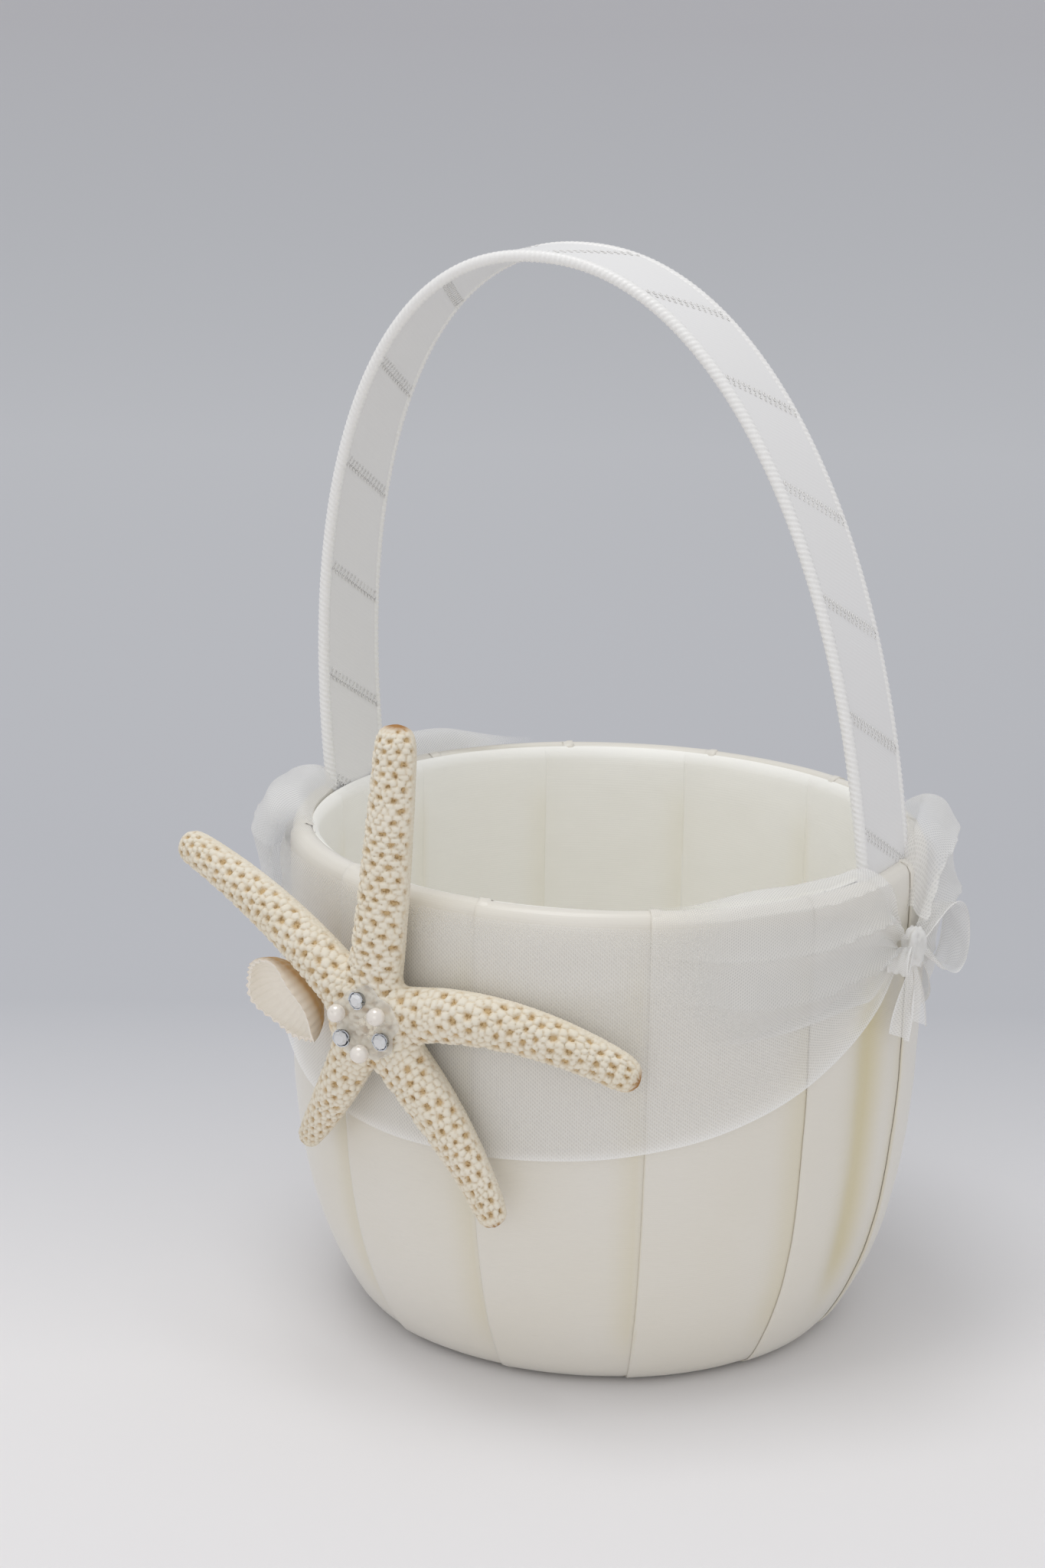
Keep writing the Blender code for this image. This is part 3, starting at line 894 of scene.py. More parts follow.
@dataclass(frozen=True)
class HandleLine:
    """Centre line of the handle from the +X foot over to the -X foot, in the X-Z plane."""

    half_span: float
    rise: float
    rim_z: float
    foot_z: float
    lean: float = -15.0
    squareness: float = 2.18

    @classmethod
    def from_frame(cls) -> "HandleLine":
        """Read the handle's size from the strip inside it and the bucket's rim."""
        low, high = low_corner("handle_core"), high_corner("handle_core")
        strip_half = 0.4
        rim = high_corner("outer_cover").z
        return cls(high.x - strip_half, high.z - strip_half - rim, rim, low.z)

    def dense(self) -> Points:
        """Closely spaced points (x, z) along the line."""
        turn = np.linspace(0, pi, 1201)
        power = 2 / self.squareness
        up = np.abs(np.sin(turn)) ** power
        across = np.sign(np.cos(turn)) * np.abs(np.cos(turn)) ** power
        arch = np.stack([self.half_span * across + self.lean * up, self.rim_z + self.rise * up], axis=1)
        foot = np.stack([np.full(40, self.half_span), np.linspace(self.foot_z, self.rim_z, 41)[:-1]], axis=1)
        return np.vstack([foot, arch, foot[::-1] * (-1, 1)])

    def length(self) -> float:
        """Length of the line in millimetres."""
        return float(np.linalg.norm(np.diff(self.dense(), axis=0), axis=1).sum())

    def at(self, distance: np.ndarray) -> tuple[Points, Points, Points]:
        """Points of the line, its outward directions and its forward directions.

        Args:
            distance: Distances from the +X foot's end in millimetres.

        Returns:
            Points, outward and forward directions, each as (x, z) rows.
        """
        dense = self.dense()
        run = np.concatenate([[0.0], np.cumsum(np.linalg.norm(np.diff(dense, axis=0), axis=1))])
        even = np.linspace(0, run[-1], 1600)
        line = np.stack([np.interp(even, run, dense[:, k]) for k in (0, 1)], axis=1)
        slope = np.gradient(line, even, axis=0)
        kernel = np.hanning(25)
        kernel /= kernel.sum()
        longer = [np.pad(slope[:, axis], 12, "edge") for axis in (0, 1)]
        slope = np.stack([np.convolve(column, kernel, "valid") for column in longer], axis=1)
        slope /= np.linalg.norm(slope, axis=1)[:, None]
        here = np.clip(distance, 0, run[-1])
        point = np.stack([np.interp(here, even, line[:, k]) for k in (0, 1)], axis=1)
        way = np.stack([np.interp(here, even, slope[:, k]) for k in (0, 1)], axis=1)
        return point, np.stack([way[:, 1], -way[:, 0]], axis=1), way

    def place(self, distance: np.ndarray, across: np.ndarray, out: np.ndarray) -> Points:
        """Points at distances along the line, across it in Y and outwards from it."""
        point, outward, _ = self.at(distance)
        spot = point + outward * out[:, None]
        return np.stack([spot[:, 0], across, spot[:, 1]], axis=1)


@dataclass
class RibbonHandle:
    """Satin ribbon wound on the strip, its stitched picot edge, and the piping along each edge."""

    line: HandleLine
    satin: bpy.types.Material
    piping: bpy.types.Material
    pitch: float = 26.4  # distance along the handle from one turn to the next
    overlap: float = 3.0
    face_half: float = 9.9
    half_thickness: float = 0.95
    lift: float = 0.14  # how far the upper ribbon stands off where it laps over
    around: int = 72
    piping_y: float = 10.85
    piping_radius: float = 1.35
    ply_pitch: float = 1.3  # real plies are 0.6 mm apart; drawn coarser so that they show
    picot_spacing: float = 1.75

    def section(self, share: np.ndarray) -> tuple[np.ndarray, np.ndarray, np.ndarray]:
        """Flat round-ended section of the wound strip.

        Args:
            share: Share of the way round, from the back edge over the outer face.

        Returns:
            Distance across, distance outwards, and the distance round it in millimetres.
        """
        face, bend = 2 * self.face_half, pi * self.half_thickness
        round_it = 2 * (face + bend)
        at = np.mod(share, 1.0) * round_it
        across, out = np.empty_like(at), np.empty_like(at)
        outer = at < face
        across[outer] = self.face_half - at[outer]
        out[outer] = self.half_thickness
        front = (at >= face) & (at < face + bend)
        turn = (at[front] - face) / self.half_thickness
        across[front] = -self.face_half - self.half_thickness * np.sin(turn)
        out[front] = self.half_thickness * np.cos(turn)
        inner = (at >= face + bend) & (at < 2 * face + bend)
        across[inner] = -self.face_half + at[inner] - face - bend
        out[inner] = -self.half_thickness
        back = at >= 2 * face + bend
        turn = (at[back] - 2 * face - bend) / self.half_thickness
        across[back] = self.face_half + self.half_thickness * np.sin(turn)
        out[back] = -self.half_thickness * np.cos(turn)
        return across, out, round_it

    def turns(self) -> float:
        """How many times the ribbon goes round."""
        return self.line.length() / self.pitch + 1

    def on_ribbon(self, turn: np.ndarray, over: np.ndarray, raised: np.ndarray) -> Points:
        """Points on the wound ribbon.

        Args:
            turn: Turns of the ribbon from its start.
            over: Distance from its lower edge, along the handle, in millimetres.
            raised: Extra height in millimetres.

        Returns:
            The points in millimetres.
        """
        across, out, _ = self.section(turn)
        width = self.pitch + self.overlap
        height = self.lift * (over / width) ** 1.5 + raised
        norm = np.hypot(out, np.where(np.abs(across) > self.face_half, np.abs(across) - self.face_half, 0.0))
        grow = 1 + height / np.maximum(norm, 1e-6)
        side = np.sign(across) * np.maximum(np.abs(across) - self.face_half, 0.0) * grow
        flat = np.clip(across, -self.face_half, self.face_half) + side
        return self.line.place(self.pitch * (turn - 1) + over, flat, out * grow)

    def build(self) -> None:
        """Make and dress the handle's ribbon, picots and piping."""
        self.ribbon()
        self.picots()
        for side, word in ((-1, "front"), (1, "back")):
            self.cord(side, word)

    def ribbon(self) -> None:
        """One long ribbon, each turn lapping over the next one's edge."""
        turns = self.turns()
        width = self.pitch + self.overlap
        edges = np.array([0.0, 0.02, 0.06, 0.12, 0.22, 0.34, 0.46, 0.58, 0.7, 0.8, 0.88, 0.94, 0.975, 1.0])

        def place(u: np.ndarray, v: np.ndarray) -> Points:
            share = np.interp(v, np.linspace(0, 1, len(edges)), edges)
            turn = u * turns
            probe = np.stack([turn * 40, share * width, np.zeros_like(u)], axis=1)
            raised = 0.04 * ripple(probe, 5, 16.0)
            return self.on_ribbon(turn, share * width, raised)

        _, _, round_it = self.section(np.zeros(1))
        per_turn = hypot(round_it, self.pitch)
        cut = (per_turn * turns, width * round_it / per_turn)
        piece = cloth("handle_ribbon", int(self.around * turns), len(edges) - 1, place, cut)
        set_attribute(piece, "painted_shade_tint", np.zeros(len(piece.data.vertices)))
        smooth(piece, 50)
        hand_over(piece, self.satin, Slot.RIBBON_SATIN, "handle_wrap")

    def picots(self) -> None:
        """Tiny thread loops in two rows along the ribbon's upper edge, tiled from one loop."""
        deselect()
        bpy.ops.mesh.primitive_torus_add(
            major_segments=7, minor_segments=4, major_radius=0.44, minor_radius=0.2
        )
        loop = bpy.context.object
        shape = coordinates(loop) * MM
        faces = [tuple(p.vertices) for p in loop.data.polygons]
        bpy.data.objects.remove(loop)
        _, _, round_it = self.section(np.zeros(1))
        width = self.pitch + self.overlap
        turns = self.turns()
        count = int(turns * hypot(round_it, self.pitch) / self.picot_spacing)
        points, polygons = [], []
        for row, (over, size) in enumerate(((width + 0.1, 1.0), (width - 1.5, 0.8))):
            turn = (np.arange(count) + 0.5 * row) * turns / count
            at = self.on_ribbon(turn, np.full(count, over), np.full(count, 0.1))
            ahead = self.on_ribbon(turn + 0.004, np.full(count, over), np.full(count, 0.1))
            above = self.on_ribbon(turn, np.full(count, over), np.full(count, 0.6))
            along = ahead - at
            along /= np.linalg.norm(along, axis=1)[:, None]
            up = above - at
            up /= np.linalg.norm(up, axis=1)[:, None]
            aside = np.cross(up, along)
            for k in range(count):
                base = len(points) * len(shape)
                spot = at[k] + size * (
                    shape[:, :1] * along[k] * 0.85
                    + shape[:, 1:2] * aside[k] * 1.15
                    + 0.55 * shape[:, 2:3] * up[k]
                )
                points.append(spot)
                polygons += [tuple(i + base for i in face) for face in faces]
        mesh = bpy.data.meshes.new("ribbon_picots")
        mesh.from_pydata((np.vstack(points) * MM).tolist(), [], polygons)
        piece = bpy.data.objects.new("ribbon_picots", mesh)
        bpy.context.scene.collection.objects.link(piece)
        weld(piece)
        smooth(piece, 180)
        hand_over(piece, self.piping, Slot.RIBBON_SATIN)

    def cord(self, side: int, word: str) -> None:
        """Piping along one edge of the handle, as a tube of slanting plies."""
        length = self.line.length()
        plies, sides = 3, 15

        def place(u: np.ndarray, v: np.ndarray) -> Points:
            distance = u * length
            turn = 2 * pi * v
            slant = plies * (turn - 2 * pi * distance / (self.ply_pitch * plies))
            radius = self.piping_radius * (1 + 0.07 * np.cos(slant))
            across = side * self.piping_y + radius * np.cos(turn)
            return self.line.place(distance, across, radius * np.sin(turn))

        cut = (length, 2 * pi * self.piping_radius)
        tube = cloth(f"handle_piping_{word}", int(length / 0.26), sides, place, cut)
        weld(tube)
        self.close_ends(tube)
        smooth(tube, 180)
        hand_over(tube, self.piping, Slot.RIBBON_SATIN)

    @staticmethod
    def close_ends(tube: bpy.types.Object) -> None:
        """Fill the open ends of a tube."""
        activate(tube)
        bpy.ops.object.mode_set(mode="EDIT")
        bpy.ops.mesh.select_all(action="DESELECT")
        bpy.ops.mesh.select_mode(type="EDGE")
        bpy.ops.mesh.select_non_manifold()
        bpy.ops.mesh.fill()
        bpy.ops.mesh.select_all(action="SELECT")
        bpy.ops.mesh.normals_make_consistent(inside=False)
        bpy.ops.object.mode_set(mode="OBJECT")


# --------------------------------------------------------------------------------------------
# Organza
# --------------------------------------------------------------------------------------------


@dataclass(frozen=True)
class Puff:
    """A bunch of organza from a knot along the rim, rolled over the rim.

    Angles are degrees round the bucket from the knot it starts at.
    """

    name: str
    knot_angle: float  # of the knot, degrees from +X
    way: int  # 1 for increasing angles
    reach: float  # how far it goes from the knot
    proud: float  # how far it stands off the side
    crown: float  # how far it stands over the rim
    low: float  # lowest height of its lower edge
    folds: float
    seed: int


@dataclass
class OrganzaSwags:
    """Sheer swags along the front and back, bunched over the rim near each knot."""

    form: BucketForm
    organza: bpy.types.Material
    knot_z: float
    low: float = 61.0
    rise: float = 38.0
    top: float = 115.6
    dip: float = 14.0
    end_angle: float = 3.5
    standoff: float = 2.0
    puff_radius: float = 75.0  # the rim's, which turns a bunch's reach into a length
    puff_cut: float = 64.0  # its length over the rim and back, with room for the creases
    puffs: tuple[Puff, ...] = (
        Puff("organza_puff_right_front", 0.0, -1, 55.0, 4.6, 4.6, 90.0, 4.3, 31),
        Puff("organza_puff_left_front", 180.0, 1, 44.0, 8.0, 6.0, 88.0, 3.4, 37),
        Puff("organza_puff_right_back", 0.0, 1, 46.0, 6.0, 8.0, 90.0, 3.6, 41),
        Puff("organza_puff_left_back", 180.0, -1, 46.0, 5.0, 5.0, 90.0, 3.6, 43),
    )

    def build(self) -> None:
        """Make and dress the swags and their bunches."""
        for name, start, node, seed in (
            ("organza_swag_front", 180.0, "organza_front", 51),
            ("organza_swag_back", 0.0, "organza_back", 57),
        ):
            self.swag(name, start, node, seed)
        for puff in self.puffs:
            self.puff(puff)

    def swag(self, name: str, start: float, node: str, seed: int) -> None:
        """One long sheer layer from knot to knot, with folds that run together at its ends."""
        span = 180.0 - 2 * self.end_angle

        def place(u: np.ndarray, v: np.ndarray) -> Points:
            angle = np.radians(start + self.end_angle + span * u)
            reach = np.abs(2 * u - 1)
            low = self.low + self.rise * reach**3 + 0.8 * np.sin(9 * u + seed)
            top = self.top - self.dip * reach**8
            z = low + (top - low) * v
            flat = self.form.points(angle, z, np.zeros_like(u))
            pull = step(reach, 0.25, 0.85)
            size = np.minimum(1.5, 0.085 * (top - low)) * pull
            bend = v + 0.05 * np.sin(6 * u + seed)
            folds = size * (0.55 + 0.45 * np.cos(2 * pi * (3.2 * bend + 0.25 * reach)))
            drape = 0.9 * np.exp(-(((v - 0.72 - 0.15 * (u - 0.6)) / 0.07) ** 2)) * step(reach, 0.0, 0.5)
            soft = 0.22 * ripple(flat, seed, 22.0)
            hem = 0.5 * np.exp(-v / 0.05)
            return self.form.points(angle, z, self.standoff + folds + drape + soft + hem)

        cut = (236.0, 58.0)
        piece = cloth(name, 300, 72, place, cut)
        _, v = sheet_shares(piece, cut)
        set_attribute(piece, "veil", 0.35 * np.exp(-v / 0.02) - 0.3 * np.exp(-(1 - v) / 0.06))
        smooth(piece, 80)
        hand_over(piece, self.organza, Slot.ORGANZA, node)
        cloth_area(piece)

    def puff(self, puff: Puff) -> None:
        """A bunch that lies on the swag, rolls over the rim and runs together at its knot."""

        def place(u: np.ndarray, v: np.ndarray) -> Points:
            turn = radians(self.end_angle) + radians(puff.reach - self.end_angle) * u
            angle = radians(puff.knot_angle) + puff.way * turn
            gather = 1 - step(u, 0.0, 0.17)
            fade = 1 - step(u, 0.55, 1.0)
            swell = (0.4 + 0.6 * step(u, 0.0, 0.25)) * (0.35 + 0.65 * fade)
            low = puff.low + 1.5 * np.sin(7 * u) + (self.knot_z - 4 - puff.low) * gather
            proud = puff.proud * swell
            sink = 13.0 * (1 - step(u, -0.02, 0.14))
            crown = self.form.rim_z + puff.crown * swell * (0.5 + 0.5 * fade) - sink
            inner = self.form.rim_z + 0.6 - 12.0 * (1 - step(u, -0.02, 0.12))
            stops = np.array([0.0, 0.22, 0.5, 0.72, 0.86, 1.0])
            heights = [low, low + (crown - low) * 0.3, low + (crown - low) * 0.7, crown - 1.6, crown, inner]
            outs = [
                1.9 + 0 * u,
                1.9 + proud * 0.75,
                1.9 + proud,
                1.9 + proud * 0.6,
                -1.5 + 2.5 * gather,
                -4.2 + 5.2 * gather,
            ]
            z = self.blend(stops, heights, v)
            out = self.blend(stops, outs, v)
            flat = self.form.points(angle, np.minimum(z, self.form.rim_z), out)
            width = crown - low + 8
            size = np.minimum(1.7, 0.1 * width) * (0.3 + 0.7 * (1 - step(u, 0.2, 0.8)))
            crease = np.abs(np.sin(pi * (puff.folds * v + 0.25 * np.sin(4 * u + puff.seed)))) ** 0.7
            folds = size * (1 - 2 * crease)
            soft = 0.3 * ripple(flat, puff.seed, 15.0) * step(u, 0.05, 0.3)
            keep = step(v, 0.0, 0.1) * (1 - 0.55 * step(v, 0.5, 0.75))
            points = self.form.points(angle, z, out + folds * keep + soft)
            points[:, 2] += 0.35 * ripple(flat, puff.seed + 1, 19.0) * step(v, 0.6, 0.85) * step(u, 0.1, 0.3)
            return points

        cut = (puff.reach * pi / 180 * self.puff_radius, self.puff_cut)
        piece = cloth(puff.name, 120, 84, place, cut)
        u, v = sheet_shares(piece, cut)
        thin = 0.4 * step(u, 0.7, 1.0) + 0.35 * step(u, 0.4, 0.9) * (1 - step(v, 0.0, 0.3))
        hem = np.exp(-v / 0.02) + 0.35 * np.exp(-v / 0.12)
        set_attribute(piece, "veil", 0.4 * hem * (1 - step(u, 0.4, 0.85)) - thin)
        smooth(piece, 80)
        hand_over(piece, self.organza, Slot.ORGANZA)
        cloth_area(piece)

    @staticmethod
    def blend(stops: np.ndarray, values: Sequence[np.ndarray], v: np.ndarray) -> np.ndarray:
        """Read between values at stops along v, smoothly, where the values vary from point to point."""
        table = np.stack(values)
        count = len(stops)
        i = np.clip(np.searchsorted(stops, v, side="right") - 1, 0, count - 2)
        t = (v - stops[i]) / (stops[i + 1] - stops[i])
        column = np.arange(len(v))
        a = table[np.maximum(i - 1, 0), column]
        b = table[i, column]
        c = table[i + 1, column]
        d = table[np.minimum(i + 2, count - 1), column]
        square = (2 * a - 5 * b + 4 * c - d) * t**2
        cube = (3 * b - a - 3 * c + d) * t**3
        return 0.5 * (2 * b + (c - a) * t + square + cube)


@dataclass
class Bow:
    """Organza bow at one foot of the handle: crumpled knot, two loops and two slanted tails."""

    side: Side
    organza: bpy.types.Material
    seed: int
    tail_length: float = 20.0
    # the least that a sheet's flat side can be, and a little
    least_tail_width: float = 10.2  # the least width of a tail's cut, a little over 10 mm

    def build(self) -> None:
        """Make and dress the bow."""
        word = self.side.name.lower()
        self.knot(word)
        for way, place in ((-1, "front"), (1, "back")):
            self.loop(word, way, place)
            self.tail(word, way, place)

    def out(self, points: Points) -> Points:
        """Turn points made for the +X side to the bow's own side."""
        points[:, 0] *= self.side.value
        return points

    def centre(self, word: str) -> Vector:
        """Middle of the knot, as if on the +X side."""
        spot = middle(f"bow_{word}_knot")
        return Vector((abs(spot.x), spot.y, spot.z))

    def knot(self, word: str) -> None:
        """Knot: a band of organza pulled tight over the gathers, creased along its length."""
        centre = self.centre(word)
        half = (high_corner(f"bow_{word}_knot") - low_corner(f"bow_{word}_knot")) / 2
        deselect()
        bpy.ops.mesh.primitive_uv_sphere_add(segments=64, ring_count=32, radius=1.0)
        piece = bpy.context.object
        piece.name = piece.data.name = f"bow_{word}_band"
        unit = coordinates(piece) * MM
        turn = np.arctan2(unit[:, 0], unit[:, 1])
        crease = 1 + 0.13 * np.cos(5 * turn + 1.4 * unit[:, 2] + self.seed) * (1 - np.abs(unit[:, 2]) ** 3)
        crease += 0.07 * ripple(unit * 10, self.seed, 5.0)
        waist = 1 + 0.18 * np.abs(unit[:, 2]) ** 2
        points = np.stack(
            [
                centre.x + half.x * 1.05 * unit[:, 0] * crease * waist,
                centre.y + half.y * 0.82 * unit[:, 1] * crease * waist,
                centre.z + half.z * 1.02 * unit[:, 2] * crease,
            ],
            axis=1,
        )
        move_points(piece, self.out(points))
        set_attribute(piece, "veil", np.full(len(unit), 0.3))
        weld(piece)
        smooth(piece, 180)
        hand_over(piece, self.organza, Slot.ORGANZA, f"bow_{word}_knot")

    def loop(self, word: str, way: int, place_word: str) -> None:
        """One loop: a strip that leaves the knot, turns back on itself and returns, pinched at the knot."""
        node = f"bow_{word}_loop_{place_word}"
        centre = self.centre(word)
        low, high = low_corner(node), high_corner(node)
        reach = max(abs(low.y), abs(high.y)) - 1.0
        height = (high.z - low.z) / 2
        drop = centre.z - (high.z + low.z) / 2

        flat = 0.34 if way < 0 else 1.0
        reach *= 0.5 if way < 0 else 1.0

        def place(u: np.ndarray, v: np.ndarray) -> Points:
            away = np.sin(pi * u)
            across = 2 * v - 1
            width = 1.3 + 3.9 * flat * away**0.7
            out = 1.2 + 3.4 * flat * away
            pleat = 0.5 * np.cos(5 * pi * v + self.seed) * (1 - 0.6 * away)
            y = 2.2 + (reach - 2.2) * away**0.85 * (1 - 0.1 * across)
            tall = (height + 0.6) * flat * np.sin(2 * pi * u) * (0.9 + 0.12 * across)
            z = centre.z - 2.0 * away + tall + pleat
            x = centre.x + out - 1.2 + width * across * 0.8 - 0.10 * y * flat
            points = np.stack([x, way * y, z], axis=1)
            crumple = ripple(points, self.seed + way, 6.0)
            points[:, 2] += 0.45 * crumple * away * (0.4 + 0.6 * step(u, 0.5, 0.8))
            points[:, 1] += 0.3 * ripple(points, self.seed + 3, 7.0) * away
            return self.out(points)

        cut = (2.6 * reach + 4, 10.5)
        piece = cloth(f"bow_{word}_petal_{place_word}", 72, 30, place, cut)
        v = sheet_shares(piece, cut)[1]
        edge = np.minimum(v, 1 - v)
        set_attribute(piece, "veil", 0.1 + 0.4 * np.exp(-edge / 0.03))
        smooth(piece, 80)
        hand_over(piece, self.organza, Slot.ORGANZA, node)
        flat, holder = (cut[1] * MM, cut[0] * MM), [f"bow_{word}_band"]
        cloth_area(piece)

    def tail(self, word: str, way: int, place_word: str) -> None:
        """One tail: a short strip from under the knot, fluted, with its end cut on a slant."""
        node = f"bow_{word}_tail_{place_word}"
        low, high = low_corner(node), high_corner(node)
        centre = self.centre(word)
        face = min(abs(low.x), abs(high.x)) + 0.3
        far = max(abs(low.y), abs(high.y))

        def place(u: np.ndarray, v: np.ndarray) -> Points:
            across = 2 * v - 1
            half = 1.2 + (far / 2 - 1.0) * step(u, 0.0, 0.9)
            y = way * (0.8 + (far / 2 - 0.2) * u + half * across)
            length = centre.z - 3.0 - low.z + 2.5 * across * way
            z = centre.z - 3.0 - length * u
            flute = 0.9 * np.cos(2 * pi * (1.2 * v + 0.3 * u)) * step(u, 0.0, 0.5)
            x = face + 0.8 + flute + 0.6 * u
            return self.out(np.stack([x, y, z], axis=1))

        cut = (self.tail_length, max(far, self.least_tail_width))
        piece = cloth(f"bow_{word}_streamer_{place_word}", 40, 18, place, cut)
        v = sheet_shares(piece, cut)[1]
        set_attribute(piece, "veil", 0.1 + 0.4 * np.exp(-np.minimum(v, 1 - v) / 0.04))
        smooth(piece, 80)
        hand_over(piece, self.organza, Slot.ORGANZA, node)
        cloth_area(piece)


# --------------------------------------------------------------------------------------------
# Starfish, gems and seashell
# --------------------------------------------------------------------------------------------


@dataclass(frozen=True)
class Arm:
    """One starfish arm: its way, length, sideways bow, backward droop and radii, in millimetres."""

    angle: float
    length: float
    bow: float
    droop: float
    base: float
    tip: float

    def centre_line(self, share: np.ndarray, centre: Vector) -> Points:
        """Points of the arm's middle at shares of its length."""
        out = np.array([cos(radians(self.angle)), 0.0, sin(radians(self.angle))])
        left = np.array([-out[2], 0.0, out[0]])
        line = np.array(centre) + out * (self.length * share)[:, None]
        line = line + left * (self.bow * 4 * share * (1 - share))[:, None]
        line[:, 1] += self.droop * share**2
        return line

    def radius(self, share: np.ndarray) -> np.ndarray:
        """The arm's half-width at shares of its length, blunt at its end."""
        blunt = np.sqrt(np.clip(1 - np.clip((share - 0.93) / 0.072, 0, 1) ** 2, 0.0, 1))
        return (self.base + (self.tip - self.base) * share**1.4) * np.maximum(blunt, 0.08)


@dataclass
class Starfish:
    """Dried starfish: five round arms covered in rows of lime plates with open pits between."""

    finish: bpy.types.Material
    centre: Vector
    arms: tuple[Arm, ...] = (
        Arm(86.0, 67.5, -1.0, 3.0, 6.0, 4.2),
        Arm(152.0, 64.0, -4.5, 8.0, 6.0, 3.6),
        Arm(-6.0, 62.0, 7.0, 12.0, 6.2, 3.9),
        Arm(-54.0, 54.0, 3.5, 2.5, 5.8, 3.2),
        Arm(-124.0, 48.0, 2.0, 14.0, 5.5, 2.4),
    )
    flatness: float = 0.8
    body_radius: float = 10.5
    body_half: float = 4.3
    row: float = 1.5  # distance between rows of plates
    plate: float = 1.75  # width of a plate
    relief: float = 0.48
    pit_depth: float = 0.5
    coarse_voxel: float = 0.8
    fine_voxel: float = 0.36

    def build(self) -> None:
        """Make and dress the starfish."""
        piece = self.rough_form()
        self.carve(piece)
        smooth(piece, 180)
        hand_over(piece, self.finish, Slot.STARFISH, "starfish")

    def rough_form(self) -> bpy.types.Object:
        """Arms and body joined into one skin with soft crotches."""
        parts = [self.arm_tube(number, arm) for number, arm in enumerate(self.arms, 1)]
        deselect()
        bpy.ops.mesh.primitive_uv_sphere_add(segments=32, ring_count=16, radius=1.0)
        body = bpy.context.object
        body.name = body.data.name = "dried_starfish"
        unit = coordinates(body) * MM
        size = np.array([self.body_radius, self.body_half, self.body_radius])
        move_points(body, unit * size + np.array(self.centre))
        deselect()
        for part in [*parts, body]:
            part.select_set(True)
        bpy.context.view_layer.objects.active = body
        bpy.ops.object.join()
        apply_modifier(body, "REMESH", mode="VOXEL", voxel_size=self.coarse_voxel * MM)
        apply_modifier(body, "SMOOTH", factor=0.5, iterations=34)
        self.swell(body, 0.62)
        apply_modifier(body, "REMESH", mode="VOXEL", voxel_size=self.fine_voxel * MM)
        apply_modifier(body, "SMOOTH", factor=0.5, iterations=4)
        return body

    def arm_tube(self, number: int, arm: Arm) -> bpy.types.Object:
        """Plain tube of one arm, closed at both ends."""

        def place(u: np.ndarray, v: np.ndarray) -> Points:
            line = arm.centre_line(u, self.centre)
            out = np.array([cos(radians(arm.angle)), 0.0, sin(radians(arm.angle))])
            left = np.array([-out[2], 0.0, out[0]])
            radius = arm.radius(u)[:, None]
            turn = (2 * pi * v)[:, None]
            return line + radius * (left * np.cos(turn) + np.array([0, self.flatness, 0]) * np.sin(turn))

        tube = cloth(f"starfish_arm_{number}", 60, 24, place, (1.0, 1.0))
        weld(tube)
        RibbonHandle.close_ends(tube)
        return tube

    @staticmethod
    def swell(piece: bpy.types.Object, distance: float) -> None:
        """Move every point outwards along its normal."""
        normals = np.empty(len(piece.data.vertices) * 3, np.float32)
        piece.data.vertices.foreach_get("normal", normals)
        move_points(piece, coordinates(piece) + normals.reshape(-1, 3) * distance)

    def arm_places(self, points: Points) -> tuple[np.ndarray, np.ndarray, np.ndarray, np.ndarray]:
        """Where each point lies on its nearest arm.

        Args:
            points: Points on the skin, in millimetres.

        Returns:
            The arm's number, distance along it, angle round it from its front in radians, and
            distance from its centre line over the arm's size at its base.
        """
        samples = 90
        share = np.linspace(0, 1, samples)
        best = np.full(len(points), np.inf)
        number = np.zeros(len(points), int)
        along = np.zeros(len(points))
        around = np.zeros(len(points))
        for k, arm in enumerate(self.arms):
            line = arm.centre_line(share, self.centre)
            out = np.array([cos(radians(arm.angle)), 0.0, sin(radians(arm.angle))])
            left = np.array([-out[2], 0.0, out[0]])
            if len(points) < FEW_POINTS:
                gap = ((points[:, None, :] - line[None]) ** 2).sum(2)
            else:
                gap = self.gaps(points, line)
            nearest = gap.argmin(1)
            distance = np.sqrt(gap[np.arange(len(points)), nearest]) / arm.base
            step_back = points - line[nearest]
            tangent = np.gradient(line, axis=0)
            tangent /= np.linalg.norm(tangent, axis=1)[:, None]
            fine = (step_back * tangent[nearest]).sum(1)
            angle = np.arctan2(step_back @ left, -step_back[:, 1])
            closer = distance < best
            best[closer] = distance[closer]
            number[closer] = k
            along[closer] = (share[nearest] * arm.length + fine)[closer]
            around[closer] = angle[closer]
        return number, along, around, best

    @staticmethod
    def gaps(points: Points, line: Points) -> np.ndarray:
        """Squared distances in less memory, from points to a line's samples.

        Args:
            points: Points in millimetres.
            line: Samples along the line in millimetres.

        Returns:
            A row for each point, with a column for each sample.
        """
        cross = points @ line.T
        return ((points**2).sum(1)[:, None] - 2 * cross + (line**2).sum(1)[None]).astype(np.float32)

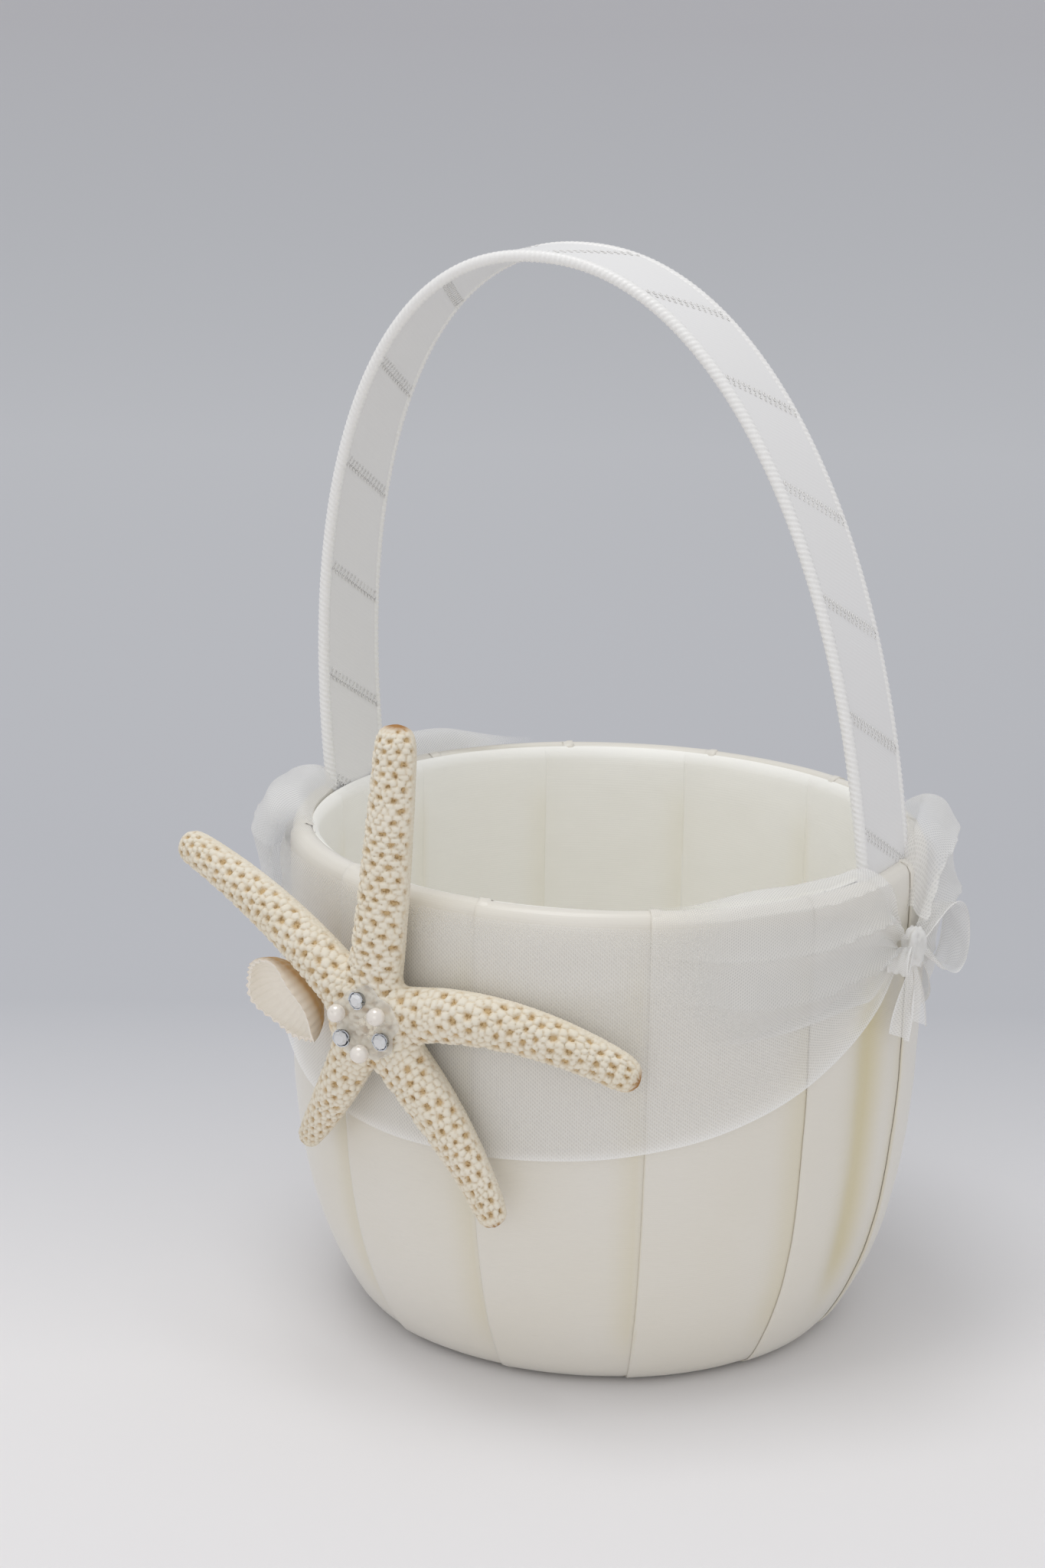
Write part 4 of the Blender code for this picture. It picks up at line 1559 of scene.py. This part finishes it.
    @staticmethod
    def cells(
        x: np.ndarray, y: np.ndarray, seed: int, jitter: float
    ) -> tuple[np.ndarray, np.ndarray, np.ndarray]:
        """Uneven round cells on a staggered grid of unit spacing.

        Args:
            x: Coordinate along the rows' way, in rows.
            y: Coordinate along a row, in plates.
            seed: Picks how the cells are placed.
            jitter: How far a cell strays from its place.

        Returns:
            How far each point is inside its cell, the cell's row and its place in the row.
        """
        rng = np.random.default_rng(seed)
        table = rng.uniform(-1, 1, (64, 64, 3))
        row, place = np.floor(x).astype(int), np.floor(y).astype(int)
        first, second = np.full(len(x), 9.0), np.full(len(x), 9.0)
        owner_row, owner_place = np.zeros(len(x), int), np.zeros(len(x), int)
        for dr in (-1, 0, 1):
            for dp in (-1, 0, 1):
                r, p = row + dr, place + dp
                shift = table[r % 64, p % 64]
                cx = r + 0.5 + jitter * 0.6 * shift[:, 0]
                cy = p + 0.5 + 0.5 * (r % 2) + jitter * shift[:, 1]
                distance = np.hypot((x - cx) * 1.1, y - cy) * (1 + 0.12 * shift[:, 2])
                nearer = distance < first
                second = np.where(nearer, first, np.minimum(second, distance))
                owner_row = np.where(nearer, r, owner_row)
                owner_place = np.where(nearer, p, owner_place)
                first = np.where(nearer, distance, first)
        return second - first, owner_row, owner_place

    def carve(self, piece: bpy.types.Object) -> None:
        """Raise the plates, sink the pits between them and note both for the material."""
        points = coordinates(piece)
        number, along, angle, near = self.arm_places(points)
        mean_radius = 4.9
        around = angle * mean_radius
        rng = np.random.default_rng(77)
        offset = rng.uniform(0, 40, len(self.arms))[number]
        wander = 0.25 * ripple(points, 61, 9.0)
        narrow = np.where(number == 0, 1.2, 1.0)
        across = around / (self.plate * narrow) + 20
        inside, row, place = self.cells(along / self.row * narrow + offset + wander, across, 3, 0.3)
        open_pit = (row % 2 == 0) & ((place + row // 2) % 2 == 0)
        table = rng.uniform(0, 1, (64, 64))
        open_pit &= table[row % 64, place % 64] < 0.93
        small = self.cells(along / 0.95 + offset, around / 1.0 + 50, 5, 0.35)[0]
        flank = step(np.abs(angle), 1.25, 1.7)
        plate = 1 - np.exp(-inside * 5.0)
        granule = 1 - np.exp(-small * 4.0)
        pit = open_pit * step(inside, 0.05, 0.4) * (1 - flank)
        height = (self.relief * plate * (1 - flank) + 0.22 * granule * flank) * (1 - pit)
        height = height - (self.pit_depth - 0.22 * granule) * pit
        seam = np.exp(-inside * 9.0) * (1 - flank) + 0.5 * np.exp(-small * 6.0) * flank
        lengths = np.array([arm.length for arm in self.arms])[number]
        rest = lengths - along
        tip_spot = np.exp(-((rest / 1.3) ** 2))
        fade = step(rest, 0.5, 5.0)
        height = height * (0.25 + 0.75 * fade) - 0.7 * tip_spot
        normals = np.empty(len(piece.data.vertices) * 3, np.float32)
        piece.data.vertices.foreach_get("normal", normals)
        move_points(piece, points + normals.reshape(-1, 3) * (height - 0.15)[:, None])
        crotch = step(near, 1.02, 1.5) * (1 - step(along, 9.0, 17.0))
        back = step(points[:, 1] - self.centre.y, 2.0, 7.0) * (1 - step(along, 20.0, 40.0))
        set_attribute(piece, "pit", np.clip(pit, 0, 1))
        set_attribute(piece, "seam", np.clip(0.65 * seam, 0, 1))
        set_attribute(piece, "warm", np.clip(0.55 * crotch + 0.2 * back, 0, 1))
        set_attribute(piece, "tip", np.clip(1.2 * tip_spot, 0, 1))


@dataclass
class GemRing:
    """Pearls and crystal stones in silver cups, in turn, bedded in clear glue."""

    pearl: bpy.types.Material
    crystal: bpy.types.Material
    silver: bpy.types.Material
    glue: bpy.types.Material
    count: int = 3

    def build(self) -> None:
        """Make and dress the gems and their glue."""
        for number in range(1, self.count + 1):
            self.bead(number)
            self.stone(number)
            self.cup(number)
        self.bed()

    def bead(self, number: int) -> None:
        """Pearl with the small dimple of its drilled hole."""
        node = f"pearl_{number}"
        centre = middle(node)
        low, high = low_corner(node), high_corner(node)
        radius = (high.x - low.x) / 2 * 1.02
        deselect()
        bpy.ops.mesh.primitive_uv_sphere_add(segments=48, ring_count=32, radius=1.0)
        piece = bpy.context.object
        piece.name = piece.data.name = f"pearl_bead_{number}"
        unit = coordinates(piece) * MM
        pole = np.exp(-((np.hypot(unit[:, 0], unit[:, 1]) / 0.16) ** 2))
        unit *= (1 - 0.16 * pole)[:, None]
        turned = unit @ np.array(Matrix.Rotation(radians(40 + 70 * number), 3, "X").transposed())
        move_points(piece, turned * radius + np.array(centre))
        smooth(piece, 180)
        hand_over(piece, self.pearl, Slot.PEARL, node)

    def stone(self, number: int) -> None:
        """Cut stone: eight-sided girdle, crown with its table and star facets, and a point behind."""
        node = f"stone_{number}"
        low, high = low_corner(node), high_corner(node)
        radius = (high.x - low.x) / 2
        deselect()
        bpy.ops.mesh.primitive_cylinder_add(vertices=8, radius=radius, depth=0.3)
        piece = bpy.context.object
        piece.name = piece.data.name = f"cut_stone_{number}"
        bpy.ops.object.mode_set(mode="EDIT")
        bpy.ops.mesh.select_mode(type="FACE")
        self.pick(piece, 0.9)
        bpy.ops.mesh.extrude_region_move(TRANSFORM_OT_translate={"value": (0, 0, 0.65)})
        bpy.ops.transform.resize(value=(0.6, 0.6, 1.0))
        self.pick(piece, -0.9)
        bpy.ops.mesh.extrude_region_move(TRANSFORM_OT_translate={"value": (0, 0, -0.9)})
        bpy.ops.transform.resize(value=(0.06, 0.06, 1.0))
        bpy.ops.mesh.select_all(action="SELECT")
        bpy.ops.mesh.bevel(offset=0.05, segments=1)
        bpy.ops.object.mode_set(mode="OBJECT")
        self.stand(piece, number, (low.y + high.y) / 2 + 0.2)
        hand_over(piece, self.crystal, Slot.CRYSTAL, node)

    @staticmethod
    def pick(piece: bpy.types.Object, least: float) -> None:
        """Select, in edit mode, only the faces that point up or down.

        Args:
            piece: The piece in edit mode.
            least: Least height of a face's normal; a negative one picks the faces that point down.
        """
        bpy.ops.object.mode_set(mode="OBJECT")
        for face in piece.data.polygons:
            face.select = face.normal.z > least if least > 0 else face.normal.z < least
        bpy.ops.object.mode_set(mode="EDIT")

    def cup(self, number: int) -> None:
        """Silver cup: turned foil with its edge folded in and four small claws.

        Args:
            number: The number of its stone.
        """
        node = f"stone_cup_{number}"
        low, high = low_corner(node), high_corner(node)
        radius = (high.x - low.x) / 2
        deselect()
        bpy.ops.mesh.primitive_cylinder_add(vertices=32, radius=radius * 0.8, depth=0.2)
        piece = bpy.context.object
        piece.name = piece.data.name = f"silver_cup_{number}"
        bpy.ops.object.mode_set(mode="EDIT")
        bpy.ops.mesh.select_mode(type="FACE")
        self.pick(piece, 0.9)
        bpy.ops.mesh.extrude_region_move(TRANSFORM_OT_translate={"value": (0, 0, 1.1)})
        bpy.ops.transform.resize(value=(1.22, 1.22, 1.0))
        bpy.ops.mesh.inset(thickness=0.22)
        bpy.ops.mesh.extrude_region_move(TRANSFORM_OT_translate={"value": (0, 0, -0.9)})
        bpy.ops.transform.resize(value=(0.8, 0.8, 1.0))
        bpy.ops.mesh.select_all(action="SELECT")
        bpy.ops.mesh.bevel(offset=0.04, segments=2)
        bpy.ops.object.mode_set(mode="OBJECT")
        unit = coordinates(piece) * MM
        angle = np.arctan2(unit[:, 1], unit[:, 0])
        top = step(unit[:, 2], 0.7, 1.1)
        claw = np.exp(-((np.mod(angle + pi / 4, pi / 2) - pi / 4) / 0.2) ** 2)
        unit[:, 2] += 0.5 * claw * top
        unit[:, :2] *= (1 - 0.08 * claw * top)[:, None]
        move_points(piece, unit)
        self.stand(piece, number, high.y - 0.1)
        smooth(piece, 50)
        hand_over(piece, self.silver, Slot.SILVER_FOIL, node)

    @staticmethod
    def stand(piece: bpy.types.Object, number: int, back: float) -> None:
        """Turn a gem made along +Z in millimetres to face the front, at its place in the ring."""
        spot = middle(f"stone_{number}")
        unit = coordinates(piece)
        if np.abs(unit).max() > 50:
            unit = unit * MM
        tilt = Matrix.Rotation(radians(8 * (number - 2)), 3, "Z") @ Matrix.Rotation(radians(90), 3, "X")
        turned = unit @ np.array(tilt.transposed())
        move_points(piece, turned + np.array((spot.x, back, spot.z)))

    def bed(self) -> None:
        """Glue: a thin uneven film that rises round each gem."""
        low, high = low_corner("gem_glue"), high_corner("gem_glue")
        centre = middle("gem_glue")
        radius = (high.x - low.x) / 2
        gems = [middle(f"pearl_{n}") for n in (1, 2, 3)] + [middle(f"stone_{n}") for n in (1, 2, 3)]
        deselect()
        bpy.ops.mesh.primitive_uv_sphere_add(segments=96, ring_count=48, radius=1.0)
        piece = bpy.context.object
        piece.name = piece.data.name = "clear_glue_bed"
        unit = coordinates(piece) * MM
        x = unit[:, 0] * radius
        z = unit[:, 1] * radius
        depth = unit[:, 2]
        film = 0.35 + 0.25 * ripple(np.stack([x, z, 0 * x], axis=1), 9, 5.0)
        for gem in gems:
            gap = np.hypot(centre.x + x - gem.x, centre.z + z - gem.z)
            film = film + 0.95 * np.exp(-((gap / 2.3) ** 2))
        wobble = 1 + 0.06 * np.sin(5 * np.arctan2(z, x)) + 0.04 * np.sin(9 * np.arctan2(z, x) + 1)
        front = np.where(depth > 0, -depth * np.maximum(film, 0.1) * 1.5, -depth * 0.8)
        y = low.y + 1.0 + front
        move_points(piece, np.stack([centre.x + x * wobble, y, centre.z + z * wobble], axis=1))
        weld(piece)
        smooth(piece, 180)
        hand_over(piece, self.glue, Slot.CLEAR_GLUE, "gem_glue")


@dataclass
class Seashell:
    """Small scallop cup behind the starfish, ribbed outside, with a wavy lip."""

    finish: bpy.types.Material
    mouth: Vector
    normal: Vector = field(default_factory=lambda: Vector((-0.30, -0.86, -0.378)).normalized())
    across: Vector = field(default_factory=lambda: Vector((0.783, 0.0, -0.622)))
    half_width: float = 11.2
    half_height: float = 10.2
    depth: float = 8.5
    ribs: int = 32
    wall: float = 0.7

    def build(self) -> None:
        """Make and dress the shell."""
        up = self.normal.cross(self.across).normalized()
        axes = np.array((self.across, up, self.normal))
        growth = {}

        def place(u: np.ndarray, v: np.ndarray) -> Points:
            angle = 2 * pi * u
            turn = pi / 2 * (1 - v)
            rib = np.cos(self.ribs * angle)
            lip = step(v, 0.75, 1.0)
            size = np.cos(turn) * (1 + (0.014 + 0.008 * lip) * rib + 0.035 * lip * np.sin(3 * angle + 1))
            ledge = 0.012 * np.sin(2 * pi * v * 5)
            depth = np.sin(turn) * self.depth * (1 + ledge)
            flare = 0.16 * lip * rib + 0.9 * lip * np.sin(2 * angle) + 0.4 * lip * np.sin(5 * angle)
            local = np.stack(
                [
                    self.half_width * size * np.cos(angle),
                    self.half_height * size * np.sin(angle),
                    -depth + flare,
                ],
                axis=1,
            )
            growth["values"] = v * 14.0
            return local @ axes + np.array(self.mouth)

        piece = cloth("scallop_shell", 260, 40, place, (70.0, 14.0))
        set_attribute(piece, "growth", growth["values"])
        weld(piece)
        count = len(piece.data.vertices)
        apply_modifier(piece, "SOLIDIFY", thickness=self.wall * MM, offset=-1.0)
        outside = np.zeros(len(piece.data.vertices))
        depth = ((coordinates(piece)[:count] - np.array(self.mouth)) @ axes.T)[:, 2]
        outside[:count] = 0.2 + 0.8 * step(-depth, 0.05 * self.depth, 0.5 * self.depth)
        set_attribute(piece, "outside", outside)
        smooth(piece, 70)
        hand_over(piece, self.finish, Slot.SEASHELL, "seashell")


# --------------------------------------------------------------------------------------------
# Studio
# --------------------------------------------------------------------------------------------


@dataclass(frozen=True)
class Studio:
    """Pale floor, soft light and the camera."""

    azimuth: float = 30.0
    elevation: float = 15.7
    roll: float = 0.86
    distance: float = 750.0
    aim_right: float = -20.2
    aim_z: float = 126.4
    lens: float = 73.4
    # Painted light: the floor's bright tone in front of the basket, lifting the shade round its base.
    floor_painted_light: str = "#edebeb"
    floor_painted_tones: tuple[tuple[float, float, str], ...] = (
        # (metres ahead of the basket where a tone starts, where it is full, the tone): painted shade that
        # darkens the sweep behind the basket
        (0.05, -0.20, "#c1c2c6"),
        (-0.35, -1.2, "#d2d3d6"),
        (-2.0, -7.0, "#cecdd0"),
    )

    def build(self) -> None:
        """Set up the whole stage."""
        self.camera()
        self.floor()
        self.lights()

    def camera(self) -> None:
        """Camera a little above the rim, three quarters from the front."""
        a, e, r = (radians(value) for value in (self.azimuth, self.elevation, self.roll))
        back = Vector((sin(a) * cos(e), -cos(a) * cos(e), sin(e)))
        right = Vector((cos(a), sin(a), 0.0))
        up = back.cross(right)
        tilted = right * cos(r) + up * sin(r)
        upright = up * cos(r) - right * sin(r)
        spot = Vector((0.0, 0.0, self.aim_z)) + right * self.aim_right + back * self.distance
        data = bpy.data.cameras.new("studio_camera")
        data.lens = self.lens
        data.clip_start, data.clip_end = 0.01, 100.0
        thing = bpy.data.objects.new("studio_camera", data)
        turn = Matrix((tilted, upright, back)).transposed().to_4x4()
        thing.matrix_world = Matrix.Translation(spot * MM) @ turn
        bpy.context.scene.collection.objects.link(thing)
        bpy.context.scene.camera = thing

    def floor(self) -> None:
        """Wide matt sweep with painted light: bright in front of the basket, with painted shade in tones
        behind it.
        """
        deselect()
        bpy.ops.mesh.primitive_plane_add(size=80.0)
        thing = bpy.context.object
        thing.name = "studio_floor"
        made, tree, shader = start_material("matt_paper", Roughness=0.85, Specular_IOR_Level=0.2)
        place = add_node(tree, "TexCoord", {}).outputs["Object"]
        toward = (sin(radians(self.azimuth)), -cos(radians(self.azimuth)), 0.0)
        ahead = add_node(tree, "VectorMath", {0: place, 1: toward}, operation="DOT_PRODUCT")
        colour = self.floor_painted_light
        for start, end, tone in self.floor_painted_tones:
            share = add_node(
                tree, "MapRange", {"Value": ahead.outputs["Value"], "From Min": start, "From Max": end}
            )
            colour = add_mix(tree, share.outputs[0], colour, tone)
        tree.links.new(colour, shader.inputs["Base Color"])
        thing.data.materials.append(made)

    def lights(self) -> None:
        """Large overhead softbox, a front fill and an even surround."""
        world = bpy.data.worlds.new("studio_air")
        world.use_nodes = True
        air = world.node_tree.nodes["Background"]
        air.inputs["Color"].default_value = linear("#eeeff2")
        air.inputs["Strength"].default_value = 0.76
        bpy.context.scene.world = world
        bpy.context.scene.view_settings.view_transform = "Standard"
        target = Vector((0.0, 0.0, 100.0)) * MM
        for name, spot, size, power in (
            ("overhead_softbox", (-150.0, -200.0, 1400.0), 600.0, 5.2),
            ("front_fill", (500.0, -1500.0, 500.0), 900.0, 1.8),
        ):
            data = bpy.data.lights.new(name, "AREA")
            data.size = size * MM
            data.energy = power
            thing = bpy.data.objects.new(name, data)
            thing.location = Vector(spot) * MM
            thing.rotation_euler = (thing.location - target).to_track_quat("Z", "Y").to_euler()
            bpy.context.scene.collection.objects.link(thing)


# --------------------------------------------------------------------------------------------
# Carried-over pieces and main
# --------------------------------------------------------------------------------------------

CAD_FINISHES: tuple[tuple[tuple[str, ...], Grained], ...] = (
    # Pressed grey board: flecked pulp, quite matt
    (("shell_wall", "shell_base"), Grained("grey_pulp_board", "#c6bba8", "#a3967f", 1.6, 0.85, 0.08)),
    # Sprung strip of extruded polyester: cloudy white with fine drawn lines
    (
        ("handle_core",),
        Grained("extruded_polyester_strip", "#e3ded0", "#cdc7b6", 0.9, 0.4, 0.03, stretch=(0.1, 1.0, 0.1)),
    ),
    # Spun cotton cord: soft off-white with short fibres
    (
        ("handle_edge_front", "handle_edge_back"),
        Grained("spun_cotton_cord", "#eee9dc", "#d5cebd", 0.5, 0.85, 0.1),
    ),
    # Galvanised steel wire: grey metal with fine drawn lines
    (
        tuple(f"staple_{word}_{number}" for word in ("right", "left") for number in (1, 2)),
        Grained("galvanised_staple_wire", "#c4c7cb", "#9da1a6", 0.4, 0.35, 0.02, metallic=1.0),
    ),
)


def dress_cad_nodes(nodes: dict[str, bpy.types.Object], glue: bpy.types.Material) -> None:
    """Give the CAD nodes that are carried over their materials.

    Args:
        nodes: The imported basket's nodes by name.
        glue: Material of the glue pads.
    """
    for names, finish in CAD_FINISHES:
        made = finish.build()
        for name in names:
            nodes[name].data.materials.clear()
            nodes[name].data.materials.append(made)
    for name in ("starfish_glue", "seashell_glue"):
        nodes[name].data.materials.clear()
        nodes[name].data.materials.append(glue)


def main() -> None:
    """Build the basket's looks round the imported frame."""
    logging.basicConfig(level=logging.INFO, format="%(name)s: %(message)s")
    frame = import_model()
    Studio().build()
    form = BucketForm.from_frame()
    # Each satin's second colour is the tint of its painted shade on the cover and lining, and otherwise a
    # random tone of the cloth.
    outer = Satin("polyester_satin_ivory", "#e8e4dc", "#d8cda8", roughness=0.31).build()
    # Painted light: the lining's near-white is brighter than the cover's satin, standing in for light bounced
    # round inside the bucket.
    lining = Satin("polyester_satin_lining", "#fffef9", "#f6f1e0", roughness=0.5).build()
    ribbon = Satin("polyester_satin_ribbon", "#eeedec", "#e6e3dc", roughness=0.38, weft_mm=0.6).build()
    organza = Organza("polyester_organza").build()
    piping = Twist("plied_satin_cord", "#f8f7f5").build()
    glue = Clear("hot_melt_glue", "#f3f1ea", 0.16, 1.48, cloud_mm=1.6, alpha=0.32, clear=0.0).build()
    felt = Grained("pressed_felt_paper", "#e6e1d4", "#d2ccbb", 0.7, 0.92, 0.12).build()
    SatinBucket(form, outer, lining, felt).build()
    RibbonHandle(HandleLine.from_frame(), ribbon, piping).build()
    OrganzaSwags(form, organza, middle("bow_right_knot").z).build()
    for side, seed in ((Side.RIGHT, 4), (Side.LEFT, 9)):
        Bow(side, organza, seed).build()
    gem_middle = middle("gem_glue")
    star_centre = Vector((gem_middle.x - 1.9, gem_middle.y + 5.7, gem_middle.z - 0.7))
    Starfish(DriedStarfish().build(), star_centre).build()
    GemRing(
        Nacre().build(),
        Clear("cut_glass_crystal", "#ffffff", 0.05, 1.5, clear=0.3).build(),
        Grained("silvered_foil", "#e2e5e9", "#c9cdd3", 0.8, 0.2, 0.02, metallic=1.0).build(),
        glue,
    ).build()
    Seashell(Scallop().build(), middle("seashell") + Vector((0.4, -0.7, 2.8))).build()
    dress_cad_nodes(frame["nodes"], glue)


if __name__ == "__main__":
    main()
